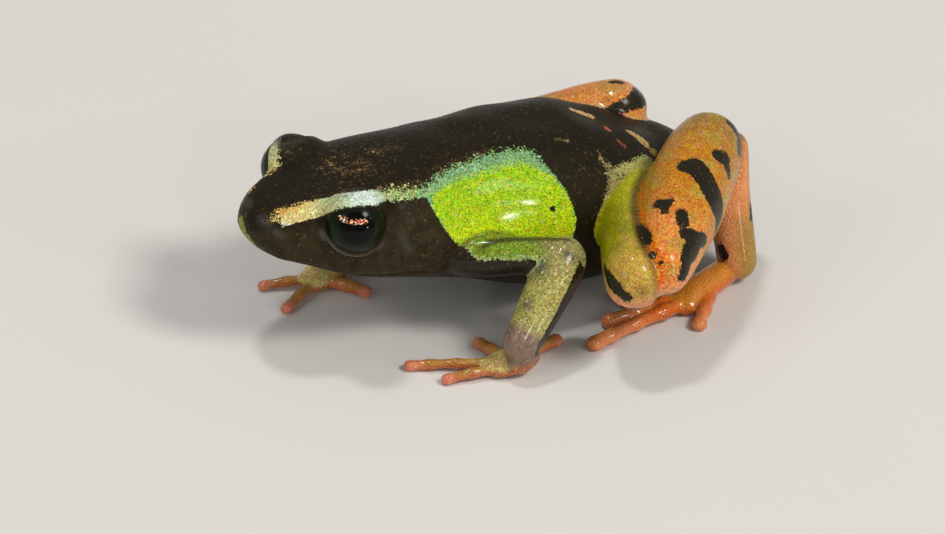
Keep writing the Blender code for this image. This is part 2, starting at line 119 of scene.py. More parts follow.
# Half widths and half heights at even steps along each limb part, from the body outwards. Those of
# the digits are shares of a digit's radius.
SIZES = {
    "upper_arm": [(1.0, 1.05), (0.95, 1.0), (0.85, 0.85), (0.85, 0.85)],
    "forearm": [(0.85, 0.9), (1.12, 1.15), (1.05, 1.05), (0.95, 0.9), (0.8, 0.72)],
    "palm": [(0.72, 0.68), (0.8, 0.72), (0.84, 0.52), (0.62, 0.4)],
    "thigh": [(1.6, 1.9), (1.4, 1.9), (1.35, 1.85), (1.4, 1.65), (1.3, 1.35)],
    "shank": [(1.05, 1.1), (1.42, 1.5), (1.78, 1.85), (1.68, 1.72), (1.2, 1.25)],
    "tarsus": [(0.84, 0.9), (1.02, 0.98), (0.98, 0.96), (0.94, 0.86)],
    "sole": [(0.62, 0.55), (0.74, 0.58), (0.76, 0.44)],
    "digit": [(1.25, 1.15), (1.0, 1.0), (0.9, 0.9), (0.95, 0.9), (1.4, 1.1)],
}

# Fingers and toes lie on the floor. Each row holds where it grows from the palm or sole and where
# its tip is, across and along, and the places of its knobs as shares of its length, where it has
# others than one in the middle.
PALM = {1: (7.1, 9.75), -1: (-2.95, 5.6)}
FINGERS = {
    1: [
        [(6.75, 9.2), (4.96, 5.9), (0.45, 0.72)], [(7.2, 9.1), (6.7, 6.85)],
        [(7.05, 10.2), (6.33, 12.7)], [(6.7, 9.75), (4.95, 9.57)],
    ],
    -1: [
        [(-3.1, 5.3), (-3.81, 3.27)], [(-2.7, 5.2), (-1.7, 3.3)],
        [(-2.5, 5.9), (-1.2, 7.04)], [(-3.3, 5.9), (-5.2, 7.2)],
    ],
}
SOLE_END = {1: (6.55, 19.4), -1: (-6.9, 18.8)}
TOES = {
    1: [
        [(6.6, 19.6), (7.35, 14.2), (0.3, 0.55, 0.78)], [(6.3, 19.8), (6.1, 15.75), (0.35, 0.65)],
        [(6.0, 20.1), (5.0, 17.3)], [(5.75, 20.6), (4.5, 19.2)], [(6.8, 20.6), (8.15, 19.3)],
    ],
    -1: [
        [(-7.05, 18.8), (-9.8, 14.2), (0.3, 0.55, 0.78)], [(-6.85, 18.9), (-8.8, 16.2), (0.35, 0.65)],
        [(-6.6, 19.1), (-7.7, 17.5)], [(-6.2, 19.6), (-5.8, 18.2)], [(-7.0, 19.6), (-9.0, 18.6)],
    ],
}
FINGER_RADII = (0.24, 0.25, 0.31, 0.30)
TOE_RADIUS = 0.325
KNOB_WIDTH, KNOB_FULLNESS = 0.24, 0.24
ROOT_LIFT, TIP_SINK, DIGIT_ARCH = 0.15, 0.03, 0.05

# How finely the forms are drawn: places round the trunk and the limbs, steps of their rounded ends,
# and the spacing along them
TRUNK_AROUND, TRUNK_TURNS, TRUNK_STEP = 160, 16, 0.14
LIMB_AROUND, LIMB_TURNS, LIMB_STEP = 40, 8, 0.12
DIGIT_TURNS, DIGIT_STEP = 6, 0.06


def unit(v):
    """Each vector divided by its own length."""
    v = np.asarray(v, float)
    return v / np.maximum(np.linalg.norm(v, axis=-1, keepdims=True), 1e-12)


def ramp(value, low, high):
    """From 0 at low to 1 at high and level beyond both, with a smooth S between: t squared times
    (3 - 2t). With low above high it falls from 1 to 0 instead."""
    t = np.clip((value - low) / (high - low), 0, 1)
    return t * t * (3 - 2 * t)


def bell(value, middle, width):
    """A bell of height 1: e to the minus square of the distance from the middle over the width."""
    return np.exp(-(((value - middle) / width) ** 2))


def gap(points, *places):
    """How far each point is from the nearest of some places."""
    return np.min([np.linalg.norm(points - np.array(place), axis=1) for place in places], axis=0)


def smooth(keys, values, at):
    """Values at the places asked for, on a smooth curve through the keyed rows that never
    overshoots them: a cubic between each two keys, whose slope at a key is the harmonic mean of
    the slopes beside it, or level where those two differ in sign."""
    keys, values, at = np.asarray(keys, float), np.asarray(values, float), np.atleast_1d(at)
    values = values.reshape(len(keys), -1)
    gaps = np.diff(keys)[:, None]
    slopes = np.diff(values, axis=0) / gaps
    before, after = slopes[:-1], slopes[1:]
    weight_before, weight_after = 2 * gaps[1:] + gaps[:-1], gaps[1:] + 2 * gaps[:-1]
    rising = before * after > 0
    below = np.where(rising, weight_before / np.where(rising, before, 1), 1)
    above = np.where(rising, weight_after / np.where(rising, after, 1), 1)
    middle = np.where(rising, (weight_before + weight_after) / (below + above), 0)
    slope = np.vstack([slopes[:1], middle, slopes[-1:]])
    i = np.clip(np.searchsorted(keys, at, side="right") - 1, 0, len(keys) - 2)
    t = ((at - keys[i]) / gaps[i, 0])[:, None]
    start = values[i] * (1 + 2 * t) * (1 - t) ** 2 + gaps[i] * slope[i] * t * (1 - t) ** 2
    end = values[i + 1] * t**2 * (3 - 2 * t) + gaps[i] * slope[i + 1] * t**2 * (t - 1)
    return start + end


def rounded(length, first, last, turns, step):
    """Places along a rod with rounded ends, and how full the rod is there, from 0 at a tip to 1:
    close together over the rounded ends, evenly spaced between them."""
    angle = np.linspace(0, np.pi / 2, turns + 1)
    steps = max(2, int(round((length - first - last) / step)) + 1)
    middle = np.linspace(first, length - last, steps)
    head_end, tail_end = first * (1 - np.cos(angle[:-1])), length - last * (1 - np.cos(angle[-2::-1]))
    places = np.concatenate([head_end, middle, tail_end])
    full = np.concatenate([np.sin(angle[:-1]), np.ones(len(middle)), np.sin(angle[-2::-1])])
    return places, full


# The forms under the skin


def skinned(rings, start, end):
    """Points and faces of a closed form from rings of points, each end drawn together in a point."""
    count, around = rings.shape[:2]
    points = np.vstack([rings.reshape(-1, 3), [start, end]])
    i, j = np.meshgrid(np.arange(count - 1), np.arange(around), indexing="ij")
    k = (j + 1) % around
    corners = [i * around + j, i * around + k, (i + 1) * around + k, (i + 1) * around + j]
    sides = np.stack(corners, -1).reshape(-1, 4)
    j = np.arange(around)
    k = (j + 1) % around
    first = np.stack([np.full(around, count * around), k, j], 1)
    ring = (count - 1) * around
    last = np.stack([np.full(around, count * around + 1), ring + j, ring + k], 1)
    return points, sides.tolist() + first.tolist() + last.tolist()


def mound_reach(y, middle, across, up):
    """How far a ray in the section at y reaches from its middle point before it leaves the mound
    over either eye, or 0 where it misses both: the far root of a line against an ellipse."""
    reach = np.zeros_like(across)
    for eye_x, eye_y, eye_z in EYE_CENTRE.values():
        left = 1 - ((y - eye_y) / MOUND[1]) ** 2
        ex, ez = eye_x, eye_z - middle
        a = (across / MOUND[0]) ** 2 + (up / MOUND[2]) ** 2
        b = across * ex / MOUND[0] ** 2 + up * ez / MOUND[2] ** 2
        c = (ex / MOUND[0]) ** 2 + (ez / MOUND[2]) ** 2 - left
        inside = b * b - a * c
        found = np.where((inside > 0) & (b > 0), (b + np.sqrt(np.maximum(inside, 0))) / a, 0)
        reach = np.maximum(reach, np.maximum(found, 0))
    return reach


def trunk_radius(y, angle, full=1.0):
    """The middle height of the trunk at y and its reach at an angle from the left side upwards.
    The outline is a squarish oval: the sum of both shares to the keyed power is 1. The eye mounds
    are blended in by adding both reaches to the tenth power and taking the tenth root."""
    table = smooth(TRUNK[:, 0], TRUNK[:, 1:], np.clip(np.ravel(y), 0, SNOUT_VENT))
    middle, side, above, below, square_above, square_below = table.T.reshape(6, *np.shape(y))
    c, s = np.cos(angle), np.sin(angle)
    power = np.where(s >= 0, square_above, square_below)
    height = np.where(s >= 0, above, below)
    oval = ((np.abs(c) / side) ** power + (np.abs(s) / height) ** power) ** (-1 / power) * full
    mound = mound_reach(y, middle, c, s)
    return middle, (oval**10 + mound**10) ** 0.1


def trunk():
    """The head and torso as one form: rings of the trunk's outline, rounded at snout and vent."""
    places, full = rounded(SNOUT_VENT, SNOUT_ROUND, VENT_ROUND, TRUNK_TURNS, TRUNK_STEP)
    y, full = places[1:-1, None], full[1:-1, None]
    angle = np.linspace(0, 2 * np.pi, TRUNK_AROUND, endpoint=False)[None, :]
    y = np.broadcast_to(y, (len(y), TRUNK_AROUND))
    middle, reach = trunk_radius(y, angle, full)
    rings = np.stack([reach * np.cos(angle), y, middle + reach * np.sin(angle)], -1)
    return skinned(rings, (0, 0, TRUNK[0, 1]), (0, SNOUT_VENT, TRUNK[-1, 1]))


def limb_line(joints, sizes, hint=(0, 0, 1), step=LIMB_STEP, turns=LIMB_TURNS, knobs=()):
    """The middle line of a limb, its own side and up directions, and its half width and height at
    each place: a smooth curve through the joints with keyed sizes, rounded past both ends by its
    own half width, and a little fuller at each knob by a bell round it."""
    joints, sizes = np.array(joints, float), np.array(sizes, float)
    radii = sizes.mean(axis=1)
    joints[0] -= unit(joints[1] - joints[0]) * radii[0]
    joints[-1] += unit(joints[-1] - joints[-2]) * radii[-1]
    keys = np.concatenate([[0], np.cumsum(np.linalg.norm(np.diff(joints, axis=0), axis=1))])
    places, full = rounded(keys[-1], radii[0], radii[-1], turns, step)
    line = smooth(keys, joints, places)
    tangent = unit(smooth(keys, joints, places + 0.01) - smooth(keys, joints, places - 0.01))
    side = unit(np.cross(tangent, hint))
    up = np.cross(side, tangent)
    size = smooth(np.linspace(0, keys[-1], len(sizes)), sizes, places)
    for place in knobs:
        size = size * (1 + KNOB_FULLNESS * bell(places, place * keys[-1], KNOB_WIDTH))[:, None]
    return {"line": line, "side": side, "up": up, "size": size * full[:, None], "along": places / keys[-1]}


def tube(path):
    """The closed form round a limb's middle line: an oval at each place."""
    angle = np.linspace(0, 2 * np.pi, LIMB_AROUND, endpoint=False)
    size = path["size"]
    rings = (
        path["line"][:, None]
        + path["side"][:, None] * (size[:, :1] * np.cos(angle))[..., None]
        + path["up"][:, None] * (size[:, 1:] * np.sin(angle))[..., None]
    )
    return skinned(rings[1:-1], path["line"][0], path["line"][-1])


def limb(start, end, bend, sizes, hint=(0, 0, 1)):
    """A limb part between two joints, whose middle stands off the straight line by the bend."""
    start, end = np.array(start), np.array(end)
    return limb_line([start, (start + end) / 2 + bend, end], sizes, hint)


def digit(radius, root, tip, knobs=(0.5,)):
    """A finger or toe along the floor, with a knob under each joint and a slightly wider tip."""
    root, tip = np.array([*root, radius + ROOT_LIFT]), np.array([*tip, radius - TIP_SINK])
    middle = root + (tip - root) * 0.5 + (0, 0, DIGIT_ARCH)
    sizes = np.array(SIZES["digit"]) * radius
    return limb_line([root, middle, tip], sizes, step=DIGIT_STEP, turns=DIGIT_TURNS, knobs=knobs)


def palm(side):
    """The palm from the wrist to the knuckles."""
    middle, wrist = (*PALM[side], 0.5), np.array(WRIST[side])
    root = (*(wrist[:2] * 0.85 + np.array(PALM[side]) * 0.15 + (0, 0.2)), 0.85)
    knuckles = np.mean([finger[0] for finger in FINGERS[side][:2]], axis=0)
    return limb_line([wrist - (0, 0, 0.1), root, middle, (*knuckles, 0.38)], SIZES["palm"])


LIMBS = {}
for side in (1, -1):
    shoulder, elbow, wrist, hip = SHOULDER[side], ELBOW[side], WRIST[side], HIP[side]
    fuller = CALF[side] * np.array([[0], [1], [1], [1], [0]])
    start, heel = np.array(HEEL[side]) + TARSUS_START[side], HEEL[side]
    ankle = np.array(ANKLE[side]) + (0, -0.5, -0.35)
    out = (side, 1, 1)
    parts = {
        "upper_arm": [limb(shoulder, elbow, np.multiply(ARM_BEND, out), SIZES["upper_arm"])],
        "forearm": [limb(elbow, wrist, np.multiply(FOREARM_BEND, out), SIZES["forearm"], (side, 0, 0.3))],
        "thigh": [limb(hip, KNEE_FRONT[side], THIGH_BEND, SIZES["thigh"])],
        "shank": [limb(KNEE_BACK[side], heel, SHANK_BEND[side], SIZES["shank"] + fuller)],
        "tarsus": [limb(start, ANKLE[side], TARSUS_BEND[side], SIZES["tarsus"], (0, 1, 0))],
        "palm": [palm(side)],
        "fingers": [digit(radius, *finger) for finger, radius in zip(FINGERS[side], FINGER_RADII)],
        "sole": [limb(ankle, (*SOLE_END[side], 0.4), (0, 0, 0.1), SIZES["sole"])],
        "toes": [digit(TOE_RADIUS, *toe) for toe in TOES[side]],
    }
    LIMBS.update({(name, side): paths for name, paths in parts.items()})


# Making one surface of them


def mesh_from(points, faces, name):
    """An object from points and faces, in millimetres while it is being made."""
    mesh = bpy.data.meshes.new(name)
    mesh.from_pydata(np.asarray(points, float).tolist(), [], faces)
    obj = bpy.data.objects.new(name, mesh)
    bpy.context.scene.collection.objects.link(obj)
    return obj


def rows_of(collection, name, width, kind=np.float32):
    """One row of numbers for each element of a mesh."""
    flat = np.empty(len(collection) * width, kind)
    collection.foreach_get(name, flat)
    return flat.reshape(-1, width)


def points_of(mesh):
    return rows_of(mesh.vertices, "co", 3).astype(float)


def vertex_normals(mesh):
    return rows_of(mesh.vertex_normals, "vector", 3).astype(float)


def edges_of(mesh):
    return rows_of(mesh.edges, "vertices", 2, np.int32)


def set_points(obj, points):
    obj.data.vertices.foreach_set("co", np.asarray(points, np.float32).ravel())
    obj.data.update()


def modified(obj, kind, **settings):
    """The object's mesh becomes what one modifier makes of it."""
    modifier = obj.modifiers.new(kind, kind)
    for key, value in settings.items():
        setattr(modifier, key, value)
    old = obj.data
    graph = bpy.context.evaluated_depsgraph_get()
    obj.data = bpy.data.meshes.new_from_object(obj.evaluated_get(graph))
    obj.modifiers.clear()
    bpy.data.meshes.remove(old)


def edited(obj, change):
    """The object's mesh after a change made on its own points, edges and faces."""
    form = bmesh.new()
    form.from_mesh(obj.data)
    change(form)
    form.to_mesh(obj.data)
    form.free()


def fused(forms, voxel, name):
    """All the forms as one closed surface, rebuilt from a fine grid of cells."""
    points, faces, start = [], [], 0
    for form_points, form_faces in forms:
        points.append(form_points)
        faces += [[corner + start for corner in face] for face in form_faces]
        start += len(form_points)
    obj = mesh_from(np.vstack(points), faces, name)
    modified(obj, "REMESH", mode="VOXEL", voxel_size=voxel)
    return obj


def relaxed(points, edges, strength, rounds):
    """Each point moves towards the mean of its neighbours by its strength, then a little more the
    other way, so that the surface evens out but thin parts keep their thickness."""
    count = np.bincount(edges.ravel(), minlength=len(points))[:, None]
    strength = np.broadcast_to(np.asarray(strength, float), len(points))[:, None]
    for turn in range(2 * rounds):
        total = np.stack(
            [
                np.bincount(edges[:, 0], points[edges[:, 1], axis], len(points))
                + np.bincount(edges[:, 1], points[edges[:, 0], axis], len(points))
                for axis in range(3)
            ],
            1,
        )
        step = 0.52 if turn % 2 == 0 else -0.54
        points = points + step * strength * (total / np.maximum(count, 1) - points)
    return points


def refined(obj, chosen):
    """Every edge whose two ends are chosen is cut in half, with its faces."""

    def cut(form):
        form.verts.ensure_lookup_table()
        edges = [edge for edge in form.edges if chosen[edge.verts[0].index] and chosen[edge.verts[1].index]]
        bmesh.ops.subdivide_edges(form, edges=edges, cuts=1, use_grid_fill=True)

    edited(obj, cut)


# Where a point lies against each form


def outside(points, paths):
    """How far each point is outside the nearest of the limbs given, in millimetres, and how far
    along it the point lies: the distance to the nearest place on the middle line, less the mean
    half size there."""
    best = np.full(len(points), 1e3)
    along = np.zeros(len(points))
    for path in paths:
        line, radius = path["line"][::2], path["size"].mean(1)[::2]
        low, high = line.min(0) - 3.5, line.max(0) + 3.5
        near = np.nonzero(((points > low) & (points < high)).all(1))[0]
        if not len(near):
            continue
        apart = np.linalg.norm(points[near, None] - line[None], axis=2) - radius
        closest = apart.argmin(1)
        distance = apart[np.arange(len(near)), closest]
        nearer = distance < best[near]
        best[near[nearer]] = distance[nearer]
        along[near[nearer]] = path["along"][::2][closest[nearer]]
    return best, along


def trunk_place(points):
    """Where each point lies on the trunk: its place along, how far round from the side up to the
    back in millimetres at a mean reach of 4, and how far outside the trunk it is."""
    y = np.clip(points[:, 1], 0, SNOUT_VENT)
    middle = smooth(TRUNK[:, 0], TRUNK[:, 1], y)[:, 0]
    angle = np.arctan2(points[:, 2] - middle, points[:, 0])
    reach = trunk_radius(y, angle)[1]
    rise = 4 * np.arctan2(points[:, 2] - middle, np.abs(points[:, 0]))
    return points[:, 1], rise, np.hypot(points[:, 0], points[:, 2] - middle) - reach


def eye_axes(side):
    """The gaze, the line from the front to the back corner of the lids, and the way up between."""
    gaze = unit(GAZE[side])
    line = unit(EYE_LINE - gaze * (EYE_LINE @ gaze))
    return gaze, line, np.cross(gaze, line) * side


def near_eye(points, side):
    """For each point near an eye: the direction from the eye's middle, its distance, how high it is
    in the lids' opening and its share of that oval, 1 on its edge."""
    gaze, line, up = eye_axes(side)
    apart = points - EYE_CENTRE[side]
    distance = np.linalg.norm(apart, axis=1)
    toward = apart / np.maximum(distance, 1e-9)[:, None]
    flat = toward * EYE_RADIUS
    along, high = flat @ line, flat @ up
    share = np.hypot((along - OPENING_BACK) / OPENING[0], high / OPENING[1])
    return toward, distance, high, np.where(toward @ gaze > 0, share, FAR_SHARE)


# The skin's own small forms


# The lids: how far they stand off the eyeball and how far the skin sinks behind it, then the ridge
# round their edge and the hollow under it as depth, place and width, the last two as shares of the
# opening
LID_STANDS, SOCKET = 0.08, 0.16
RIDGE, RIDGE_AT, RIDGE_WIDTH = 0.035, 1.15, 0.08
HOLLOW, HOLLOW_AT, HOLLOW_WIDTH = 0.02, 1.42, 0.12


def shaped_lids(points):
    """The lids: inside the opening the skin sinks behind the eyeball, and round it a soft rim
    stands a little proud, fuller below, where the lower lid shows as a thin ridge."""
    for side in (1, -1):
        toward, distance, high, share = near_eye(points, side)
        fuller = np.where(high < 0, 1.2, 0.6)
        rim = EYE_RADIUS + LID_STANDS + RIDGE * bell(share, RIDGE_AT, RIDGE_WIDTH) * fuller
        rim -= HOLLOW * bell(share, HOLLOW_AT, HOLLOW_WIDTH) * (high < 0)
        sunk = EYE_RADIUS - SOCKET
        target = sunk + (rim - sunk) * ramp(share, 0.98, 1.10)
        hold = ramp(share, 1.75, 1.25) * ramp(distance, 2.4, 2.0)
        points = points + toward * ((target - distance) * hold)[:, None]
    return points


def face_relief(points):
    """How far each point of the head moves out along the surface: the groove of the mouth between
    two full lips, a pit for each nostril, the hollow between nostril and eye, the edge of the
    snout above it, the ear's faint ring, and soft folds behind the corner of the mouth."""
    y, rise, off = trunk_place(points)
    on_trunk = 1 - ramp(off, 0.25, 0.6)
    ends = ramp(y, 0.1, 1.1) * (1 - ramp(y, 6.9, 7.6))
    level = rise + 0.35 + 0.6 * ramp(y, 0.5, 3.5) - 0.45 * ramp(y, 4.0, 7.2) + 0.03 * np.sin(1.9 * y)
    move = -0.17 * bell(level, 0, 0.085) * ends
    move += 0.06 * bell(level, 0.36, 0.2) * ends + 0.045 * bell(level, -0.36, 0.2) * ends
    move += 0.05 * bell(level, -0.1, 0.6) * bell(y, 7.9, 0.5)
    move -= 0.10 * bell(y, 2.3, 0.75) * bell(rise, 1.9, 0.75)
    move += 0.05 * bell(y, 2.0, 1.3) * bell(rise, 3.3, 0.35)
    ring = np.hypot((y - 7.0) / 0.52, (rise - 1.55) / 0.6)
    move += 0.02 * bell(ring, 1.0, 0.22) - 0.03 * bell(ring, 0.0, 0.75)
    move += 0.02 * bell(rise - 0.35 * (y - 8.2), 2.35, 0.35) * bell(y, 7.2, 1.5)
    move -= 0.05 * bell(rise + 0.9 * (y - 8.3), -0.2, 0.22) * bell(y, 8.4, 0.6)
    for side in (1, -1):
        apart = points - (side * NOSTRIL[0], *NOSTRIL[1:])
        distance = np.linalg.norm(apart * NOSTRIL_OVAL, axis=1)
        move += -0.2 * bell(distance, 0, 0.13) + 0.05 * bell(distance, 0.27, 0.09)
    return move * on_trunk


def body_relief(points, y, rise, off):
    """Slow swells under the skin of the back, flank and belly: sums of sines of unequal lengths."""
    x, z = points[:, 0], points[:, 2]
    swell = 0.5 * np.sin(1.3 * y + 0.7 * x) * np.sin(1.1 * z - 0.4 * y)
    swell += 0.5 * np.sin(2.1 * z + 1.7 * x) * np.sin(1.7 * y + 0.9 * z)
    on_body = (1 - ramp(off, 0.2, 0.5)) * ramp(y, 8.5, 10.5)
    back = -0.10 * bell(rise, 6.28, 1.0) * ramp(y, 9, 12) * (1 - ramp(y, 18, 21))
    hip = 0.12 * bell(y, 19.3, 1.4) * bell(rise, 4.6, 0.9)
    return on_body * (0.05 * swell + back + hip)


# The parts that press together: each limb part and what it lies against
FOLDS = {"thigh": "trunk", "upper_arm": "trunk", "shank": "thigh", "tarsus": "shank"}


def pressed(points, off, width, reach):
    """How closely two parts press together at each point, for each pair that does: a bell over the
    difference of its distances to both, gone where it is farther from either than the reach."""
    apart = {name: outside(points, LIMBS[name, 1] + LIMBS[name, -1])[0] for name in FOLDS}
    apart["trunk"] = off
    found = {}
    for name, other in FOLDS.items():
        near = ramp(np.maximum(apart[name], apart[other]), reach, reach / 2)
        found[name] = bell(apart[other] - apart[name], 0, width) * near
    return found


def creases(points, off):
    """How far in the skin is drawn where two parts press together, less towards the knee and where
    a limb leaves the trunk."""
    fold = pressed(points, off, 0.15, 0.8)
    depth = 0.22 * (fold["shank"] + fold["tarsus"]) + 0.09 * (fold["thigh"] + fold["upper_arm"])
    return depth * ramp(gap(points, *KNEE_FRONT.values()), 1.1, 1.9)


# Where the body is evened out most: joints, an offset from them outwards, back and up, the distances
# over which the evening fades, and how strong it is
SOFT = [
    (SHOULDER, (0, 0, 0), 1.4, 2.6, 1.0),
    (KNEE_BACK, (0.4, -0.9, -0.3), 1.2, 1.9, 1.0),
    (ELBOW, (0, 0, 0), 0.9, 1.6, 1.0),
    (HEEL, (0.2, 0.8, 0), 1.3, 2.0, 0.8),
]
# How many rounds of evening each stage gets
ROUNDS = {"body": 2, "joints": 14, "hands and feet": 3, "wrists": 16, "head": 2, "creases": 9}


def softness(points):
    """How strongly each point of the body is evened out round the joints."""
    soft = np.zeros(len(points))
    for joint, offset, near, far, strength in SOFT:
        places = [np.array(joint[side]) + np.multiply(offset, (side, 1, 1)) for side in (1, -1)]
        soft = np.maximum(soft, strength * ramp(gap(points, *places), far, near))
    return soft


def make_skin():
    """The skin in millimetres: the body from a coarser grid, hands and feet from a finer one,
    joined, relaxed most where limbs meet the body, refined over the head, then shaped."""
    coarse = [trunk()]
    fine = {key: [] for key in (("hand", 1), ("hand", -1), ("foot", 1), ("foot", -1))}
    for (name, side), paths in LIMBS.items():
        forms = [tube(path) for path in paths]
        if name in ("palm", "fingers"):
            fine["hand", side] += forms
        elif name in ("sole", "toes"):
            fine["foot", side] += forms
        else:
            coarse += forms
    body = fused(coarse, VOXEL, "skin")
    points, edges = points_of(body.data), edges_of(body.data)
    soft = softness(points)
    points = relaxed(points, edges, 1.0, ROUNDS["body"])
    set_points(body, relaxed(points, edges, soft, ROUNDS["joints"]))
    parts = []
    for key, forms in fine.items():
        part = fused(forms, FINE_VOXEL, "_".join(map(str, key)))
        points = relaxed(points_of(part.data), edges_of(part.data), 1.0, ROUNDS["hands and feet"])
        set_points(part, points)
        parts.append(part)
    for part in parts:
        modified(body, "BOOLEAN", operation="UNION", solver="MANIFOLD", object=part)
        bpy.data.objects.remove(part)
    points = points_of(body.data)
    blend = ramp(gap(points, *WRIST.values(), *ANKLE.values()), 1.7, 0.8)
    set_points(body, relaxed(points, edges_of(body.data), blend, ROUNDS["wrists"]))
    points = points_of(body.data)
    refined(body, (points[:, 1] < HEAD_BACK) & (points[:, 2] > HEAD_LOW))
    points, edges = points_of(body.data), edges_of(body.data)
    points = relaxed(points, edges, (points[:, 1] < NECK + 0.3) * 1.0, ROUNDS["head"])
    points = shaped_lids(points)
    set_points(body, points)
    normals = vertex_normals(body.data)
    y, rise, off = trunk_place(points)
    points = points + normals * (face_relief(points) * (y < NECK + 1))[:, None]
    depth = creases(points, off)
    points = points + normals * (body_relief(points, y, rise, off) - depth)[:, None]
    points = relaxed(points, edges, ramp(depth, 0.005, 0.06), ROUNDS["creases"])
    points[:, 2] = np.maximum(points[:, 2], 0.0)
    set_points(body, points)
    return body


# Markings: distances in millimetres, above 0 inside a mark, and colours laid one over another

LIME, YELLOW_GREEN = (0.41, 0.66, 0.04), (0.70, 0.90, 0.05)
DEEP_CYAN, PALE_CYAN, MILKY_CYAN = (0.12, 0.36, 0.09), (0.33, 0.56, 0.31), (0.44, 0.66, 0.46)
# The last is ice white, painted as highlights on the stripe
CREAM, AMBER, ICE_HIGHLIGHT = (0.92, 0.80, 0.34), (0.72, 0.40, 0.09), (0.80, 0.95, 0.88)
GREEN_GOLD, SHADED_GOLD = (0.38, 0.50, 0.20), (0.13, 0.17, 0.12)
PALE, DIM_PALE = (0.46, 0.46, 0.16), (0.30, 0.24, 0.11)
BELLY_BLUE = (0.30, 0.50, 0.62)
ARM_GREEN, ARM_RIM, ELBOW_GOLD = (0.21, 0.31, 0.03), (0.45, 0.60, 0.24), (0.30, 0.27, 0.09)
ARM_GOLD, ARM_DIM, ARM_SMUDGE = (0.47, 0.43, 0.13), (0.36, 0.34, 0.12), (0.10, 0.10, 0.06)
BLUE_BLACK, MAUVE = (0.05, 0.06, 0.06), (0.26, 0.17, 0.125)
PALM_RED, PALM_GOLD, FINGER_GOLD = (0.50, 0.18, 0.07), (0.68, 0.53, 0.20), (0.52, 0.34, 0.11)
FINGER_BROWN, FINGER_SIDE, FINGER_TIP = (0.50, 0.24, 0.07), (0.60, 0.18, 0.06), (0.80, 0.27, 0.16)
THIGH_LIME, OLIVE, GOLD = (0.54, 0.54, 0.015), (0.36, 0.34, 0.010), (0.64, 0.41, 0.09)
KNEE_BROWN, KNEE_DARK, PINK_BROWN = (0.34, 0.17, 0.07), (0.16, 0.09, 0.03), (1.0, 0.42, 0.20)
BRIGHT_ORANGE, ORANGE, BRONZE = (0.85, 0.33, 0.09), (0.62, 0.26, 0.03), (0.34, 0.205, 0.03)
OLD_GOLD, BRICK, GLOW = (0.44, 0.34, 0.06), (0.62, 0.26, 0.12), (0.86, 0.21, 0.02)
TARSUS_GOLD, TARSUS_BROWN = (0.56, 0.27, 0.06), (0.40, 0.24, 0.05)
SALMON, RED, SOLE_ORANGE = (0.90, 0.36, 0.16), (0.78, 0.19, 0.05), (0.80, 0.34, 0.07)


def bars(*chains):
    """The bars between the neighbouring places of each chain. A place holds x, y and z, the half
    width where a bar ends there and, where it differs, the half width with which the next starts."""
    return [(a[:3], b[:3], a[-1], b[3]) for chain in chains for a, b in zip(chain, chain[1:])]


# Outlines on the trunk as places along and round from the side, going round each mark once
PATCH = [
    (7.7, 3.3), (8.1, 3.65), (8.55, 3.95), (9.25, 4.2), (10.0, 4.35), (11.3, 4.48), (12.55, 4.5),
    (13.2, 4.42), (13.65, 4.15), (13.9, 3.5), (14.2, 2.8), (14.5, 2.1), (14.65, 1.5), (14.7, 0.9),
    (14.5, 0.2), (13.8, -0.3), (12.0, -0.4), (10.2, 0.0), (9.45, 0.25), (9.05, 0.28), (8.88, 0.55),
    (8.55, 1.0), (8.22, 1.45), (7.91, 2.06), (7.74, 2.57), (7.66, 2.95),
]
STRIPE = [
    (1.08, 4.60), (1.5, 4.44), (2.3, 4.3), (3.0, 4.16), (3.5, 3.94), (3.9, 3.7), (4.4, 3.63),
    (5.45, 3.74), (6.0, 3.7), (6.85, 3.62), (7.75, 3.62), (8.3, 3.6), (8.2, 3.07), (7.4, 3.1),
    (6.8, 3.09), (6.0, 3.12), (5.4, 3.12), (4.65, 2.9), (3.9, 2.97), (3.2, 3.05), (2.55, 3.04),
    (1.9, 3.0), (1.38, 2.94), (1.05, 2.84), (0.86, 3.7),
]
# The marks of the right side lie this much lower round the trunk, in the same units
RIGHT_DROP = 0.9
DOT, DOT_RADIUS = (13.6, 1.54), 0.14

# Small marks: two ends and the half width at each, then the colour and how strongly it shows
RUMP = [
    ((-0.66, 17.45, 7.40), (-0.25, 18.2, 7.05), 0.15, 0.24, (0.66, 0.42, 0.20), 1.0),
    ((0.92, 18.36, 7.03), (1.2, 18.3, 7.05), 0.15, 0.13, (0.48, 0.13, 0.06), 0.8),
    ((1.87, 18.42, 6.82), (2.1, 18.67, 6.58), 0.13, 0.08, (0.34, 0.05, 0.03), 0.8),
    ((1.05, 19.52, 6.56), (1.56, 20.08, 6.10), 0.17, 0.26, (0.52, 0.35, 0.13), 1.0),
    ((1.93, 20.3, 5.74), (1.9, 20.44, 5.70), 0.15, 0.15, (0.40, 0.28, 0.10), 0.7),
    ((1.72, 15.17, 7.78), (1.9, 15.7, 7.63), 0.12, 0.10, (0.10, 0.085, 0.03), 0.5),
    ((-0.71, 4.56, 8.35), (-0.24, 4.58, 8.36), 0.055, 0.05, (0.20, 0.15, 0.06), 0.8),
    ((0.03, 4.52, 8.35), (0.44, 4.95, 8.40), 0.05, 0.055, (0.16, 0.12, 0.05), 0.8),
    ((0.14, 5.32, 8.44), (0.37, 5.85, 8.47), 0.04, 0.05, (0.14, 0.10, 0.045), 0.8),
    ((0.68, 5.10, 8.41), (0.85, 5.67, 8.44), 0.055, 0.05, (0.20, 0.14, 0.05), 0.8),
    ((-0.18, 6.64, 8.50), (0.06, 6.88, 8.51), 0.04, 0.04, (0.12, 0.10, 0.05), 0.7),
    ((-0.07, 7.53, 8.51), (-0.07, 7.82, 8.50), 0.035, 0.035, (0.12, 0.10, 0.05), 0.7),
    ((-0.45, 0.12, 6.42), (0.38, 0.10, 5.95), 0.34, 0.27, (0.27, 0.34, 0.05), 1.0),
]
